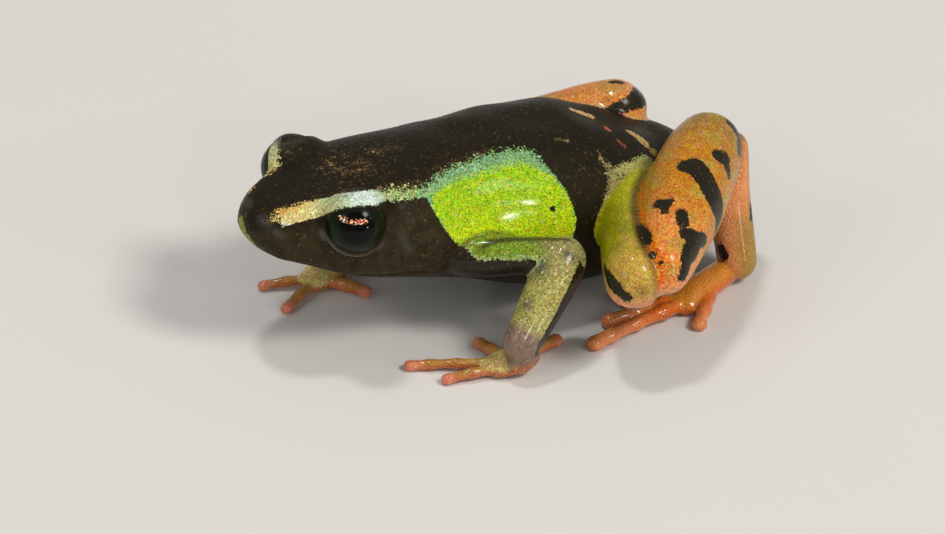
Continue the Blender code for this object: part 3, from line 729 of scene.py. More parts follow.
# Painted sheen, a pale grey on the dark skin of the face: two ends, the half width at each and how strong it
# is
SHEEN_PATCHES = [
    ((0.64, 0.53, 7.19), (1.06, 0.61, 7.14), 0.30, 0.26, 0.30),
    ((1.52, 0.76, 6.93), (1.76, 0.94, 6.81), 0.16, 0.14, 0.45),
    ((2.6, 3.3, 8.4), (2.5, 4.5, 8.55), 0.22, 0.20, 0.25),
    ((3.66, 5.95, 6.5), (3.88, 6.25, 5.75), 0.20, 0.34, 0.2),
]
# A pale fringe before the groin, the same on both sides
GROIN = bars(
    [(2.9, 16.85, 6.9, 0.08), (3.41, 17.24, 6.41, 0.2), (4.4, 16.7, 5.9, 0.36)],
    [(3.5, 17.1, 6.35, 0.26), (3.07, 18.47, 6.19, 0.2), (2.65, 19.6, 5.9, 0.32)],
)
# Pale blue spots under the chin and belly, as the kind has them: x, y and z and the half width
UNDER = [
    (1.6, 3.6, 4.0, 0.24), (-1.5, 4.1, 4.0, 0.26), (0.2, 2.4, 4.3, 0.2), (2.5, 6.2, 3.6, 0.24),
    (-2.3, 6.9, 3.3, 0.26), (0.9, 10.2, 1.6, 0.34), (-1.6, 11.6, 1.0, 0.38), (2.2, 13.4, 0.9, 0.34),
    (0.1, 14.4, 0.2, 0.3), (-2.4, 15.4, 0.6, 0.36), (1.2, 16.9, 0.1, 0.34), (-0.7, 18.6, 0.2, 0.3),
]

# The painted shadow line along the fold between the left upper arm and the flank
ARM_FOLD_SHADE = bars(
    [(4.71, 9.5, 5.24, 0.06), (4.72, 10.05, 5.49, 0.15), (5.11, 11.17, 5.54, 0.16),
     (5.57, 12.48, 5.45, 0.18), (6.13, 13.3, 5.44, 0.1)],
)
# Where water gathers on the skin: two ends, the half width at each and how wet it is
WET = [
    ((3.93, 11.2, 6.05), (3.93, 11.6, 6.05), 0.30, 0.30, 2.6),
    ((3.91, 12.4, 6.36), (3.9, 12.7, 6.38), 0.26, 0.26, 2.6),
    ((-2.41, 19.6, 6.26), (-2.15, 21.9, 6.5), 0.40, 0.34, 3.0),
    ((7.96, 10.3, 2.9), (7.96, 10.35, 2.6), 0.30, 0.30, 2.0),
]
# Dark smudges of the left forearm and of the left knee: the middle and the width
ARM_SMUDGES = (((6.45, 11.6, 4.7), 0.55), ((7.3, 10.55, 3.5), 0.28), ((6.9, 12.9, 5.05), 0.3))
KNEE_SMUDGES = (((8.3, 14.6, 5.7), 0.4), ((10.5, 14.5, 4.85), 0.3))
DUSTY_BROW = (0.1, 5.2, 8.4)

# Black blotches on the limbs
BLOTCHES = bars(
    # The left hind leg
    [(6.3, 19.3, 7.72, 0.46), (6.5, 19.65, 7.65, 0.62), (7.0, 19.75, 7.44, 0.62, 0.6),
     (7.41, 19.8, 7.17, 0.6, 0.62), (7.75, 19.88, 6.81, 0.66, 0.64), (7.97, 19.95, 6.37, 0.62, 0.6),
     (8.08, 20.0, 5.96, 0.5, 0.46), (8.41, 19.69, 5.37, 0.24)],
    [(5.9, 21.25, 7.42, 0.36), (5.92, 21.6, 7.22, 0.42, 0.4), (6.5, 21.5, 6.65, 0.16)],
    [(7.39, 17.09, 6.95, 0.24), (7.73, 17.35, 7.07, 0.28, 0.26), (7.7, 17.63, 7.18, 0.16)],
    [(7.8, 17.2, 7.02, 0.24), (8.06, 17.1, 6.95, 0.2)],
    [(8.57, 17.68, 6.91, 0.31), (8.93, 17.52, 6.74, 0.32)],
    [(9.05, 17.45, 6.65, 0.1), (9.4, 17.45, 6.45, 0.18)],
    [(9.45, 17.4, 6.4, 0.36), (9.53, 17.93, 6.0, 0.44, 0.4), (9.3, 18.5, 5.68, 0.34)],
    [(9.55, 17.8, 5.9, 0.5), (9.98, 17.3, 5.8, 0.52, 0.5), (10.3, 16.94, 5.67, 0.42, 0.4),
     (10.64, 16.56, 5.13, 0.3)],
    [(7.67, 16.07, 6.12, 0.22), (8.33, 15.92, 6.17, 0.31), (8.81, 15.78, 6.17, 0.27)],
    [(9.66, 15.5, 6.0, 0.2), (9.7, 15.48, 5.99, 0.2)],
    [(10.15, 15.61, 5.83, 0.12), (10.17, 15.61, 5.82, 0.12)],
    [(8.14, 13.95, 5.0, 0.1), (9.06, 13.59, 5.1, 0.26, 0.28), (9.61, 13.58, 4.95, 0.34),
     (10.23, 13.9, 4.52, 0.26)],
    [(3.75, 23.3, 7.38, 0.34), (4.1, 23.55, 6.8, 0.42, 0.4), (5.0, 23.0, 6.65, 0.28)],
    [(5.17, 23.8, 3.6, 0.2), (5.4, 23.7, 3.13, 0.2)],
    [(5.1, 22.4, 1.95, 0.34), (5.5, 22.1, 1.6, 0.3)],
    # The right hind leg with the dark flank of its calf under the wet streak, and the right elbow
    [(-1.25, 19.4, 6.3, 0.26), (-1.6, 20.8, 6.05, 0.36), (-1.7, 21.7, 6.15, 0.46, 0.5),
     (-2.3, 22.3, 6.1, 0.5)],
    [(-2.8, 20.93, 6.71, 0.17), (-2.6, 21.3, 6.7, 0.19)],
    [(-5.9, 17.0, 4.1, 0.36), (-5.4, 18.2, 4.8, 0.3)],
    [(-6.9, 15.9, 3.0, 0.3), (-6.6, 16.5, 3.3, 0.3)],
    [(-7.8, 13.9, 2.2, 0.22), (-7.7, 14.2, 2.4, 0.22)],
    [(-2.0, 22.3, 5.6, 0.36), (-2.2, 22.4, 5.0, 0.24)],
    [(-4.6, 21.9, 3.6, 0.18), (-4.7, 22.0, 3.2, 0.18)],
    [(-5.6, 11.2, 3.5, 0.24), (-5.9, 10.9, 3.2, 0.2)],
)
LIMB_NAMES = ("upper_arm", "forearm", "palm", "fingers", "thigh", "shank", "tarsus", "sole", "toes")
# Over what distance the looks of neighbouring parts blend, and the farthest that edges are followed
BLEND, EDGE_MOST = 0.06, 0.6


def outline_distance(at, outline):
    """How far each place is inside a closed outline, below 0 outside: the distance to its nearest
    side, with the sign from how many sides a line to the right crosses."""
    start = np.array(outline, float)
    end = np.roll(start, -1, 0)
    best = np.full(len(at), 1e3)
    crossed = np.zeros(len(at), bool)
    for a, b in zip(start, end):
        side = b - a
        share = np.clip(((at - a) @ side) / (side @ side), 0, 1)
        best = np.minimum(best, np.linalg.norm(at - a - share[:, None] * side, axis=1))
        spans = (a[1] > at[:, 1]) != (b[1] > at[:, 1])
        slope = (at[:, 1] - a[1]) / np.where(b[1] == a[1], 1e-9, b[1] - a[1])
        crossed ^= spans & (at[:, 0] < a[0] + slope * side[0])
    return np.where(crossed, best, -best)


def bar_distance(at, first, last, first_width, last_width):
    """How far each place is inside a bar with round ends, whose half width runs from one value to
    another: the half width at the nearest point of its middle line, less the distance to it."""
    first, last = np.array(first, float), np.array(last, float)
    side = last - first
    share = np.clip(((at - first) @ side) / max(side @ side, 1e-9), 0, 1)
    apart = np.linalg.norm(at - first - share[:, None] * side, axis=1)
    return first_width + (last_width - first_width) * share - apart


def deepest(points, rows):
    """How far each point is inside the nearest of some bars."""
    return np.max([bar_distance(points, *row) for row in rows], axis=0)


def painted(count, base, *layers):
    """The colour of each of a number of points: the base, with each tint laid over it by its
    weight, which is held between 0 and 1."""
    colour = np.tile(np.array(base), (count, 1))
    for tint, weight in layers:
        colour = colour + (np.array(tint) - colour) * np.clip(weight, 0, 1)[:, None]
    return colour


def folded(points):
    """The points with those of the right side mirrored to the left."""
    return np.abs(points * (1, 0, 0)) + points * (0, 1, 1)


def cloudy(points, across, along):
    """Slow patches between -1 and 1: the product of two sines of sloping waves."""
    x, y, z = points.T
    return np.sin(along[0] * y + along[1] * z) * np.sin(across[0] * z + across[1] * x)


def stripe_look(y, lower, right):
    """The stripe's colour: cream at the nostril with amber above and a painted ice-white highlight low
    at its front end, cyan with a painted ice-white highlight over the eye, speckled green gold behind
    it, and a shaded brow on the right side."""
    return painted(
        len(y), CREAM,
        (GREEN_GOLD, 0.55 * ramp(y, 2.0, 3.4)),
        (AMBER, 0.7 * ramp(lower, 3.5, 4.2) * ramp(y, 3.2, 2.2)),
        (MILKY_CYAN, 0.85 * bell(y, 4.5, 1.4)),
        # Ice white painted as highlights: over the eye, and low at the front end by the nostril
        (ICE_HIGHLIGHT, bell(y, 4.35, 0.8) * (1 - 0.5 * ramp(lower, 3.5, 3.9))),
        (ICE_HIGHLIGHT, 0.75 * bell(y, 1.0, 0.26) * ramp(lower, 3.4, 3.0)),
        (GREEN_GOLD, ramp(y, 5.2, 6.4)),
        (SHADED_GOLD, 0.85 * right * ramp(y, 2.9, 3.4) * ramp(y, 6.0, 5.2)),
    )


def trunk_look(points, y, rise):
    """The marks of head and body: how far each point is inside them, how ragged their edge is,
    their colour, how far the cyan rim of the patch mingles with it and what lies well inside the
    patch. The flank patch is lime with yellow below."""
    right = points[:, 0] < 0
    lower = rise + (RIGHT_DROP + 0.4 * ramp(y, 2.4, 1.6) - 0.3 * bell(y, 2.8, 0.5)) * right
    unrolled = np.stack([y, lower], 1)
    patch, stripe = outline_distance(unrolled, PATCH), outline_distance(unrolled, STRIPE)
    groin = deepest(folded(points), GROIN)
    under = np.max([spot[3] - gap(points, spot[:3]) for spot in UNDER], axis=0)
    marks = np.maximum(patch, stripe)
    edge = np.maximum.reduce([marks, groin, under])
    edge = np.minimum(edge, np.hypot(y - DOT[0], lower - DOT[1]) - DOT_RADIUS)

    of_stripe, of_groin = ramp(stripe - patch, -0.15, 0.15), ramp(groin - marks, -0.1, 0.1)
    colour = painted(
        len(y), LIME,
        (YELLOW_GREEN, ramp(lower, 2.8, 0.3)),
        (stripe_look(y, lower, right), of_stripe),
        (painted(len(y), DIM_PALE, (PALE, ramp(y, 16.9, 17.7))), of_groin),
        (BELLY_BLUE, ramp(under - marks, -0.1, 0.1)),
    )
    top = ramp(lower, 3.1, 3.7)
    speckled = 0.14 + 0.35 * right + 0.75 * top * ramp(y, 3.2, 2.0) + (0.25 + 0.55 * top) * ramp(y, 5.0, 6.2)
    on_patch = 0.15 + 0.7 * ramp(lower, 3.0, 4.0)
    ragged = on_patch + (speckled - on_patch) * of_stripe + 0.3 * of_groin
    rim_width = 0.42 + 1.3 * ramp(lower, 2.7, 4.0)
    rim = ramp(patch, rim_width, -0.2 * rim_width) * (0.35 + 0.65 * ramp(lower, 2.2, 3.4))
    rim = np.maximum(rim * (1 - of_stripe), 0.55 * of_stripe * ramp(y, 5.8, 7.2))
    for *bar, tint, strength in RUMP:
        mark = bar_distance(points, *bar)
        over = ramp(mark - edge, -0.04, 0.04)
        colour = colour + (np.array(tint) - colour) * over[:, None]
        ragged = ragged + (0.15 - ragged) * over
        edge = np.maximum(edge, mark - 0.05 * (1 - strength))
    return edge, ragged, colour, rim * ramp(patch, -0.6, -0.3), ramp(patch, 0.1, 0.5)


def limb_look(name, points, normals, along, toward_thigh):
    """The bright skin of one limb part: how far each point is inside it, and its colour, a base and
    the tints laid over it with their weights."""
    x, y, z = points.T
    out, back, up = normals.T
    left = x > 0
    edge = EDGE_MOST - 0.9 * ramp(-up, 0.35, 0.8) * (z > 1.0)
    if name == "upper_arm":
        top = z - 4.90 + 0.04 * np.sin(6 * y) + 0.12 * ramp(y, 9.8, 9.0)
        edge = np.where(left, np.minimum(top, (y - 8.61) * 0.83 + (z - 5.8) * 0.555), z - 3.9)
        colours = [ARM_GREEN, (ARM_RIM, 0.8 * ramp(edge, 0.2, 0.0)), (ELBOW_GOLD, ramp(y, 11.4, 12.6))]
    elif name == "forearm":
        # The side of the forearm that faces back is made dark skin: painted shade
        edge = np.minimum(edge, 0.5 - 1.1 * ramp(back, 0.0, 0.42) * ramp(along, 0.1, 0.32))
        mottles = 0.6 * ramp(cloudy(points, (5.3, -3.9), (6.1, 2.3)), 0.25, 0.8) * ramp(along, 0.4, 0.1)
        colours = [ARM_GOLD, (ARM_DIM, ramp(along, 0.35, 0.1)), (ARM_SMUDGE, mottles)]
        colours += [(BLUE_BLACK, 0.8 * bell(gap(points, place), 0, width)) for place, width in ARM_SMUDGES]
        colours.append((MAUVE, ramp(along, 0.73, 0.80)))
    elif name == "palm":
        colours = [PALM_RED, (PALM_GOLD, ramp(up, -0.1, 0.5)), (MAUVE, ramp(z, 0.85, 1.15))]
    elif name == "fingers":
        colours = [FINGER_GOLD, (FINGER_BROWN, ramp(along, 0.1, 0.5)), (FINGER_SIDE, ramp(up, 0.7, 0.1))]
        colours.append((FINGER_TIP, ramp(along, 0.72, 0.9)))
    elif name == "thigh":
        patches = 0.6 * ramp(cloudy(points, (3.1, -2.1), (2.9, 1.3)), 0.1, 0.8) * ramp(along, 0.5, 0.7)
        colours = [THIGH_LIME, (OLIVE, ramp(along, 0.45, 0.66)), (GOLD, patches)]
        colours += [(GOLD, ramp(along, 0.78, 0.92)), (PINK_BROWN, ramp(z, 4.8, 4.0) * ramp(along, 0.8, 0.9))]
        for tint, strength, (place, width) in zip((KNEE_BROWN, KNEE_DARK), (0.7, 0.8), KNEE_SMUDGES):
            colours.append((tint, strength * bell(gap(points, place), 0, width)))
    elif name == "shank":
        patches = 0.55 * ramp(cloudy(points, (2.9, -1.7), (2.3, 1.1)), 0.1, 0.8)
        mottles = 0.6 * ramp(cloudy(points, (3.1, 4.7), (5.3, -2.1)), 0.2, 0.8) * ramp(along, 0.45, 0.7)
        colours = [BRIGHT_ORANGE, (ORANGE, ramp(along, 0.22, 0.48) * left)]
        colours += [(BRONZE, 0.8 * ramp(along, 0.62, 0.86) * left), (OLD_GOLD, patches), (BRICK, mottles)]
        colours.append((GLOW, 0.9 * ramp(toward_thigh, 0.7, 0.15) * ramp(along, 0.8, 0.6)))
        colours.append((PINK_BROWN, 0.8 * ramp(z, 5.2, 4.3)))
    elif name == "tarsus":
        colours = [TARSUS_GOLD, (SALMON, ramp(0.9 * out - back, -0.3, 0.4))]
        colours.append((TARSUS_BROWN, 0.9 * ramp(along, 0.4, 0.7) * ramp(back, -0.9, 0.0)))
    elif name == "sole":
        colours = [RED, (SOLE_ORANGE, 0.8 * ramp(up, 0.2, 0.8))]
    else:
        colours = [RED, (SALMON, 0.7 * ramp(along, 0.3, 0.8))]
    return np.minimum(edge, EDGE_MOST), painted(len(y), *colours)


def sheen_on_face(points):
    """How strongly a painted grey sheen lies on the dark skin: a thin pale line round the lower lid,
    and soft patches of painted sheen by the nostril, over the ear and along the lip."""
    painted_sheen = np.zeros(len(points))
    for side in (1, -1):
        distance, high, share = near_eye(points, side)[1:]
        line = ramp(np.abs(share - 1.14), 0.07, 0.02)
        painted_sheen = np.maximum(painted_sheen, 0.7 * line * ramp(high, -0.1, -0.6) * ramp(distance, 1.75, 1.62))
    for *bar, strength in SHEEN_PATCHES:
        painted_sheen = np.maximum(painted_sheen, strength * ramp(bar_distance(folded(points), *bar), -0.2, 0.35))
    return painted_sheen


def markings(points, normals):
    """For each point of the skin: how far inside the bright skin it is, how ragged that edge is,
    the bright colour and the cyan that mingles with it, how brown the dark skin is, how much gold
    dust it carries, how much painted sheen lies on it, how much painted shade it takes in a fold,
    how grainy it is and how wet. Trunk and limb parts each have their own look, weighed by how
    near they are: e to the minus distance over BLEND."""
    y, rise, off = trunk_place(points)
    near = {name: outside(points, LIMBS[name, 1] + LIMBS[name, -1]) for name in LIMB_NAMES}
    apart = np.stack([off] + [near[name][0] for name in LIMB_NAMES])
    share = np.exp(-(apart - apart.min(0)) / BLEND)
    share /= share.sum(0)
    trunk, limb, of = share[0], 1 - share[0], dict(zip(LIMB_NAMES, share[1:]))

    edge, ragged, colour, rim, patch = trunk_look(points, y, rise)
    trunk_edge = np.clip(edge, -EDGE_MOST, EDGE_MOST)
    bright, mixed = trunk * trunk_edge, trunk[:, None] * colour
    crease = near["thigh"][0] - near["shank"][0]
    for name, weight in of.items():
        edge, colour = limb_look(name, points, normals, near[name][1], crease)
        bright += weight * edge
        mixed += weight[:, None] * colour
    black = deepest(points, BLOTCHES)
    bright = np.where(limb > 0.3, np.minimum(bright, -black), bright)

    wrist = of["forearm"] * ramp(near["forearm"][1], 0.72, 0.8)
    grain = trunk + 0.65 * limb - 0.3 * of["fingers"] - 0.4 * (of["toes"] + of["tarsus"] + of["sole"])
    grain += 0.5 * (of["forearm"] + of["upper_arm"]) + 0.3 * of["palm"] - 0.8 * wrist
    grain += 0.6 * trunk * ramp(y, 5.2, 6.5) * ramp(y, 8.0, 7.6)
    brown = ramp(y, 10.0, 7.5) * ramp(rise, 3.2, 2.0)
    brown = np.maximum(brown, 0.4 * ramp(points[:, 2], 3.0, 1.0)) * trunk
    dust = 0.7 * ramp(trunk_edge, -0.55, -0.02) * ramp(rise, 3.2, 3.9) * ramp(y, 13.0, 11.0) * trunk
    dust = np.maximum(dust, 0.45 * bell(gap(points, DUSTY_BROW), 0, 1.3))

    # Painted shade: dark in the folds where parts press together, on the thigh just behind the shank's edge,
    # and along the fold of the left arm
    fold_shades, knee = pressed(points, off, 0.14, 0.6), gap(points, *KNEE_FRONT.values())
    shade_behind_shank = ramp(crease, -0.5, -0.1) * ramp(crease, 0.15, 0.0) * ramp(near["shank"][0], 0.55, 0.35)
    fold = np.maximum.reduce([
        0.8 * fold_shades["upper_arm"], fold_shades["shank"] * ramp(knee, 0.8, 1.8), fold_shades["tarsus"],
        0.3 * fold_shades["thigh"], 0.95 * shade_behind_shank * limb * ramp(knee, 1.0, 1.6),
        0.95 * ramp(deepest(points, ARM_FOLD_SHADE), -0.08, 0.06),
    ])
    wet = of["toes"] + of["sole"] + of["fingers"] + limb * (1 - 0.4 * ramp(black, -0.05, 0.1))
    wet += 0.15 * trunk * patch + 1.2 * wrist
    for *bar, strength in WET:
        wet += strength * ramp(bar_distance(points, *bar), -0.3, 0.2)
    return {
        "bright": bright, "ragged": ragged * trunk + 0.2 * limb, "colour": mixed, "rim": rim * trunk,
        "brown": brown, "dust": dust, "painted_sheen": sheen_on_face(points) * trunk, "fold": fold, "grain": grain,
        "wet": wet,
    }


def store(mesh, name, values):
    """Numbers or colours kept on the mesh, one for each point."""
    values = np.asarray(values, float)
    if values.ndim == 1:
        mesh.attributes.new(name, "FLOAT", "POINT").data.foreach_set("value", values.astype(np.float32))
        return
    rgba = np.concatenate([values, np.ones((len(values), 1))], 1).astype(np.float32)
    mesh.attributes.new(name, "FLOAT_COLOR", "POINT").data.foreach_set("color", rgba.ravel())


# Materials. Colours are red, green and blue; heights of bumps are in metres; scales of noise and
# grains are counts to a millimetre.

GRAINS_PER_MM = 14.0
HUE_CHANGE, VALUE_CHANGE, SATURATION = 0.115, 0.65, 1.05
LEATHER, PINHOLE, PAINTED_GLINT = (0.45, 0.33, 0.12), (0.03, 0.03, 0.005), (1.0, 0.90, 0.55)
BLACK, BLACK_BROWN, BROWN = (0.004, 0.0035, 0.0015), (0.016, 0.012, 0.005), (0.036, 0.027, 0.012)
# The grey of the painted sheen on the face, and the red and gold of the dust
SHEEN_GREY, RED_DUST, GOLD_DUST = (0.17, 0.17, 0.15), (0.20, 0.06, 0.015), (0.26, 0.20, 0.06)
# A dark brown painted as shade in folds, and the tint of the skin's specular reflection
FOLD_SHADE, SHEEN = (0.02, 0.009, 0.003), (1.0, 0.84, 0.55)
# The faint green of the iris and of the eye's coat tint is a painted reflection, and the pale copper flecks
# are painted glints
PUPIL_BLACK, IRIS, PALE_IRIS = (0.001, 0.001, 0.001), (0.003, 0.006, 0.002), (0.006, 0.012, 0.003)
COPPER, COPPER_GLINT, EYE_COAT = (1.0, 0.14, 0.03), (1.0, 0.88, 0.66), (0.75, 0.95, 0.75)
FLOOR_GREY, FLOOR_PALE = (0.74, 0.72, 0.69), (0.78, 0.765, 0.74)
PIMPLE, WRINKLE, SWELL = 0.00005, 0.00007, 0.00008


class Nodes:
    """A material's nodes, made and linked in single short lines."""

    def __init__(self, name):
        self.material = bpy.data.materials.new(name)
        self.material.use_nodes = True
        self.tree = self.material.node_tree
        self.shader = self.tree.nodes["Principled BSDF"]

    def feed(self, node, inputs):
        """Each input, by its name or number, is linked to an output or set to a value."""
        for key, value in inputs.items():
            socket = node.inputs[key]
            if isinstance(value, bpy.types.NodeSocket):
                self.tree.links.new(value, socket)
            else:
                socket.default_value = (*value, 1) if socket.type == "RGBA" else value

    def add(self, kind, inputs, **settings):
        node = self.tree.nodes.new(kind)
        for key, value in settings.items():
            setattr(node, key, value)
        self.feed(node, inputs)
        return node.outputs

    def math(self, operation, first, second):
        return self.add("ShaderNodeMath", {0: first, 1: second}, operation=operation)[0]

    plus, minus = partialmethod(math, "ADD"), partialmethod(math, "SUBTRACT")

    def times(self, first, *others):
        for other in others:
            first = self.math("MULTIPLY", first, other)
        return first

    def spread(self, value, low, high, to_low=0.0, to_high=1.0):
        inputs = {"Value": value, "From Min": low, "From Max": high, "To Min": to_low, "To Max": to_high}
        return self.add("ShaderNodeMapRange", inputs, interpolation_type="SMOOTHSTEP")["Result"]

    def mix(self, share, first, second, blend="MIX"):
        inputs = {0: share, 6: first, 7: second}
        return self.add("ShaderNodeMix", inputs, data_type="RGBA", blend_type=blend)[2]

    def place(self):
        """The point on the piece, in millimetres."""
        point = self.add("ShaderNodeTexCoord", {})["Object"]
        return self.add("ShaderNodeMapping", {"Vector": point, "Scale": (1 / MM,) * 3})[0]

    def noise(self, place, scale, detail, rough=0.5):
        inputs = {"Vector": place, "Scale": scale, "Detail": detail, "Roughness": rough}
        return self.add("ShaderNodeTexNoise", inputs)["Fac"]

    def grains(self, place):
        """Tiny cells: the distance from a cell's middle, and three chances for each cell."""
        far, colour = self.add("ShaderNodeTexVoronoi", {"Vector": place, "Scale": GRAINS_PER_MM})[:2]
        return (far, *self.add("ShaderNodeSeparateColor", {0: colour}))

    def stored(self, name, output="Fac"):
        return self.add("ShaderNodeAttribute", {}, attribute_name=name)[output]

    def bump(self, height, distance, strength, **normal):
        inputs = {"Height": height, "Distance": distance, "Strength": strength}
        return self.add("ShaderNodeBump", {**inputs, **normal})[0]


def skin_material():
    """Wet skin: dark ground with bright marks whose edges break up into grains. The bright skin is
    made of tiny grains that differ in hue and brightness, a few with a painted glint; the dark skin
    carries a fine dust of gold."""
    n = Nodes("frog_skin")
    place, colour = n.place(), n.stored("colour", "Color")
    bright, ragged, brown, grain, wet = map(n.stored, ("bright", "ragged", "brown", "grain", "wet"))
    rim, dusty, painted_sheen, fold = map(n.stored, ("rim", "dust", "painted_sheen", "fold"))
    grain_far, first, second, third = n.grains(place)

    # The edge between bright and dark wanders, and single grains fall on either side of it
    wander = n.minus(n.noise(place, 4.5, 3.0, 0.6), 0.5)
    edge = n.plus(bright, n.times(wander, n.times(ragged, 0.7)))
    edge = n.plus(edge, n.times(n.minus(third, 0.5), n.times(ragged, 0.6)))
    mask = n.spread(edge, -0.025, 0.03)

    # Bright skin: cyan mingles in by cells, each grain has its own hue and value, a few carry a painted
    # glint
    mingled = n.minus(n.times(rim, 1.5), n.times(second, 0.5))
    cyan = n.mix(n.spread(first, 0.1, 0.9), DEEP_CYAN, PALE_CYAN)
    hue = n.times(n.minus(first, 0.5), n.times(grain, HUE_CHANGE))
    value = n.times(n.minus(second, 0.5), n.times(grain, VALUE_CHANGE))
    inputs = {"Hue": n.plus(hue, 0.5), "Saturation": SATURATION, "Value": n.plus(value, 1.0)}
    inputs["Color"] = n.mix(n.spread(mingled, 0.0, 0.7), colour, cyan)
    lit = n.add("ShaderNodeHueSaturation", inputs)[0]
    cloud = n.noise(place, 1.7, 3.0)
    lit = n.mix(n.spread(cloud, 0.4, 0.75, 0.0, 0.3), lit, LEATHER, "MULTIPLY")
    lit = n.mix(n.times(n.spread(third, 0.12, 0.05), grain, 0.5), lit, PINHOLE)
    lit = n.mix(n.times(n.spread(third, 0.94, 1.0), grain, 0.5), lit, PAINTED_GLINT)

    # Dark skin: black with brown below, a painted grey sheen and dust of red and gold
    ground = n.mix(n.noise(place, 5.0, 4.0), BLACK, BLACK_BROWN)
    patchy = n.times(brown, n.spread(n.noise(place, 2.2, 3.0), 0.3, 0.7, 0.35, 1.0))
    ground = n.mix(patchy, ground, BROWN)
    sheen_weight = n.times(painted_sheen, n.spread(n.noise(place, 3.5, 4.0, 0.7), 0.2, 0.7, 0.4, 1.0))
    ground = n.mix(sheen_weight, ground, SHEEN_GREY)
    chance = n.spread(n.plus(second, n.times(dusty, 0.45)), 0.93, 1.02)
    dust = n.times(chance, n.spread(cloud, 0.35, 0.6, 0.3, 1.0), 0.6)
    ground = n.mix(dust, ground, n.mix(first, RED_DUST, GOLD_DUST))

    rough = n.spread(n.noise(place, 9.0, 2.0), 0.3, 0.7, 0.36, 0.5)
    pimples = n.bump(n.times(grain_far, n.spread(mask, 0.0, 1.0, 0.6, 1.3)), PIMPLE, 0.7)
    stretched = n.add("ShaderNodeVectorMath", {0: place, 1: (1.0, 0.3, 0.8)}, operation="MULTIPLY")[0]
    wrinkled = n.bump(n.times(n.noise(stretched, 11.0, 3.0), brown), WRINKLE, 0.8, Normal=pimples)
    # In folds the base colour is darkened towards a dark brown: painted shade
    look = {
        "Base Color": n.mix(n.times(fold, 0.85), n.mix(mask, ground, lit), FOLD_SHADE),
        "Roughness": n.minus(rough, n.times(wet, 0.1)),
        "Specular IOR Level": 0.16,
        "Specular Tint": SHEEN,
        "Coat Weight": n.plus(n.times(wet, 0.38), 0.03),
        "Coat Roughness": 0.14,
        "Normal": n.bump(n.noise(place, 6.0, 4.0), SWELL, 0.6, Normal=wrinkled),
    }
    n.feed(n.shader, look)
    return n.material


def eye_material():
    """The wet eye: a round black pupil in a nearly black iris, faintly green as a painted reflection,
    with a broken copper band above the pupil whose palest flecks are painted glints, all under a
    clear polished coat tinted faintly green for the same reflection."""
    n = Nodes("frog_eye")
    place = n.place()
    ring, high, along = map(n.stored, ("ring", "high", "along"))
    _, first, second, _ = n.grains(place)
    band = n.times(n.spread(high, 0.40, 0.52), n.spread(high, 0.78, 0.62))
    band = n.times(band, n.times(n.spread(along, -1.25, -0.8), n.spread(along, 0.5, 0.2)))
    band = n.spread(n.plus(first, band), 1.38, 1.46)
    dark = n.mix(n.noise(place, 6.0, 3.0), IRIS, PALE_IRIS)
    inside = n.mix(n.spread(ring, 0.80, 0.74), dark, PUPIL_BLACK)
    look = {
        "Base Color": n.mix(band, inside, n.mix(n.spread(second, 0.3, 0.9), COPPER, COPPER_GLINT)),
        "Roughness": n.spread(ring, 0.6, 0.8, 0.1, 0.3),
        "Specular IOR Level": 0.08,
        "Coat Weight": 0.17,
        "Coat Tint": EYE_COAT,
        "Coat Roughness": 0.02,
    }
    n.feed(n.shader, look)
    return n.material


def floor_material():
    """A pale matt studio floor with the faintest unevenness."""
    n = Nodes("studio_floor")
    tone = n.mix(n.noise(n.place(), 0.02, 3.0), FLOOR_GREY, FLOOR_PALE)
    n.feed(n.shader, {"Base Color": tone, "Roughness": 0.75})
    return n.material


# The pieces

EYE_AROUND, EYE_RINGS = 64, 50
CORNEA, CORNEA_WIDTH = 0.02, 0.55


def make_eye(side):
    """The eyeball: a sphere whose front bulges a little as the cornea does, by a bell round the
    gaze. Rings run round the gaze, close together at the front."""
    gaze, line, up = eye_axes(side)
    centre = np.array(EYE_CENTRE[side])
    turn = np.linspace(0, 2 * np.pi, EYE_AROUND, endpoint=False)[None, :]
    tilt = (np.linspace(0, 1, EYE_RINGS)[1:-1, None]) ** 1.15 * np.pi
    reach = EYE_RADIUS - CORNEA + CORNEA * bell(tilt, 0, CORNEA_WIDTH)
    ring = reach * np.sin(tilt)
    ways = (reach * np.cos(tilt) * np.ones_like(turn), ring * np.cos(turn), ring * np.sin(turn))
    rings = centre + np.stack(ways, -1) @ np.array([gaze, line, up])
    points, faces = skinned(rings, centre + gaze * EYE_RADIUS, centre - gaze * (EYE_RADIUS - CORNEA))
    obj = mesh_from(points, faces, "eyeball" + ("_l" if side > 0 else "_r"))
    edited(obj, lambda form: bmesh.ops.recalc_face_normals(form, faces=form.faces))
    apart = points_of(obj.data) - centre
    along, high, out = apart @ line, apart @ up, apart @ gaze
    ring = np.hypot(along - PUPIL[0], high - PUPIL[1])
    store(obj.data, "ring", np.where(out > 0, ring, 2.0))
    store(obj.data, "high", high - 0.1 * along - 0.15 * (along + 0.35) ** 2)
    store(obj.data, "along", along)
    return obj


def dress(piece, material, slot, *nodes):
    """The finished piece in its place on the row, with its look and the nodes it stands for; the slot is not
    used.
    """
    set_points(piece, points_of(piece.data) * MM + FROG)
    piece.data.materials.clear()
    piece.data.materials.append(material)
    piece.data.shade_smooth()
    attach(piece, "root")
    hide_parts(*nodes)


skin = make_skin()
for name, values in markings(points_of(skin.data), vertex_normals(skin.data)).items():
    store(skin.data, name, values)
flesh = [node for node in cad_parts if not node.startswith("eye")]
dress(skin, skin_material(), "black_skin", *flesh)

eye_look = eye_material()
for side, end in ((1, "_l"), (-1, "_r")):
    dress(make_eye(side), eye_look, "eye", "eye" + end)

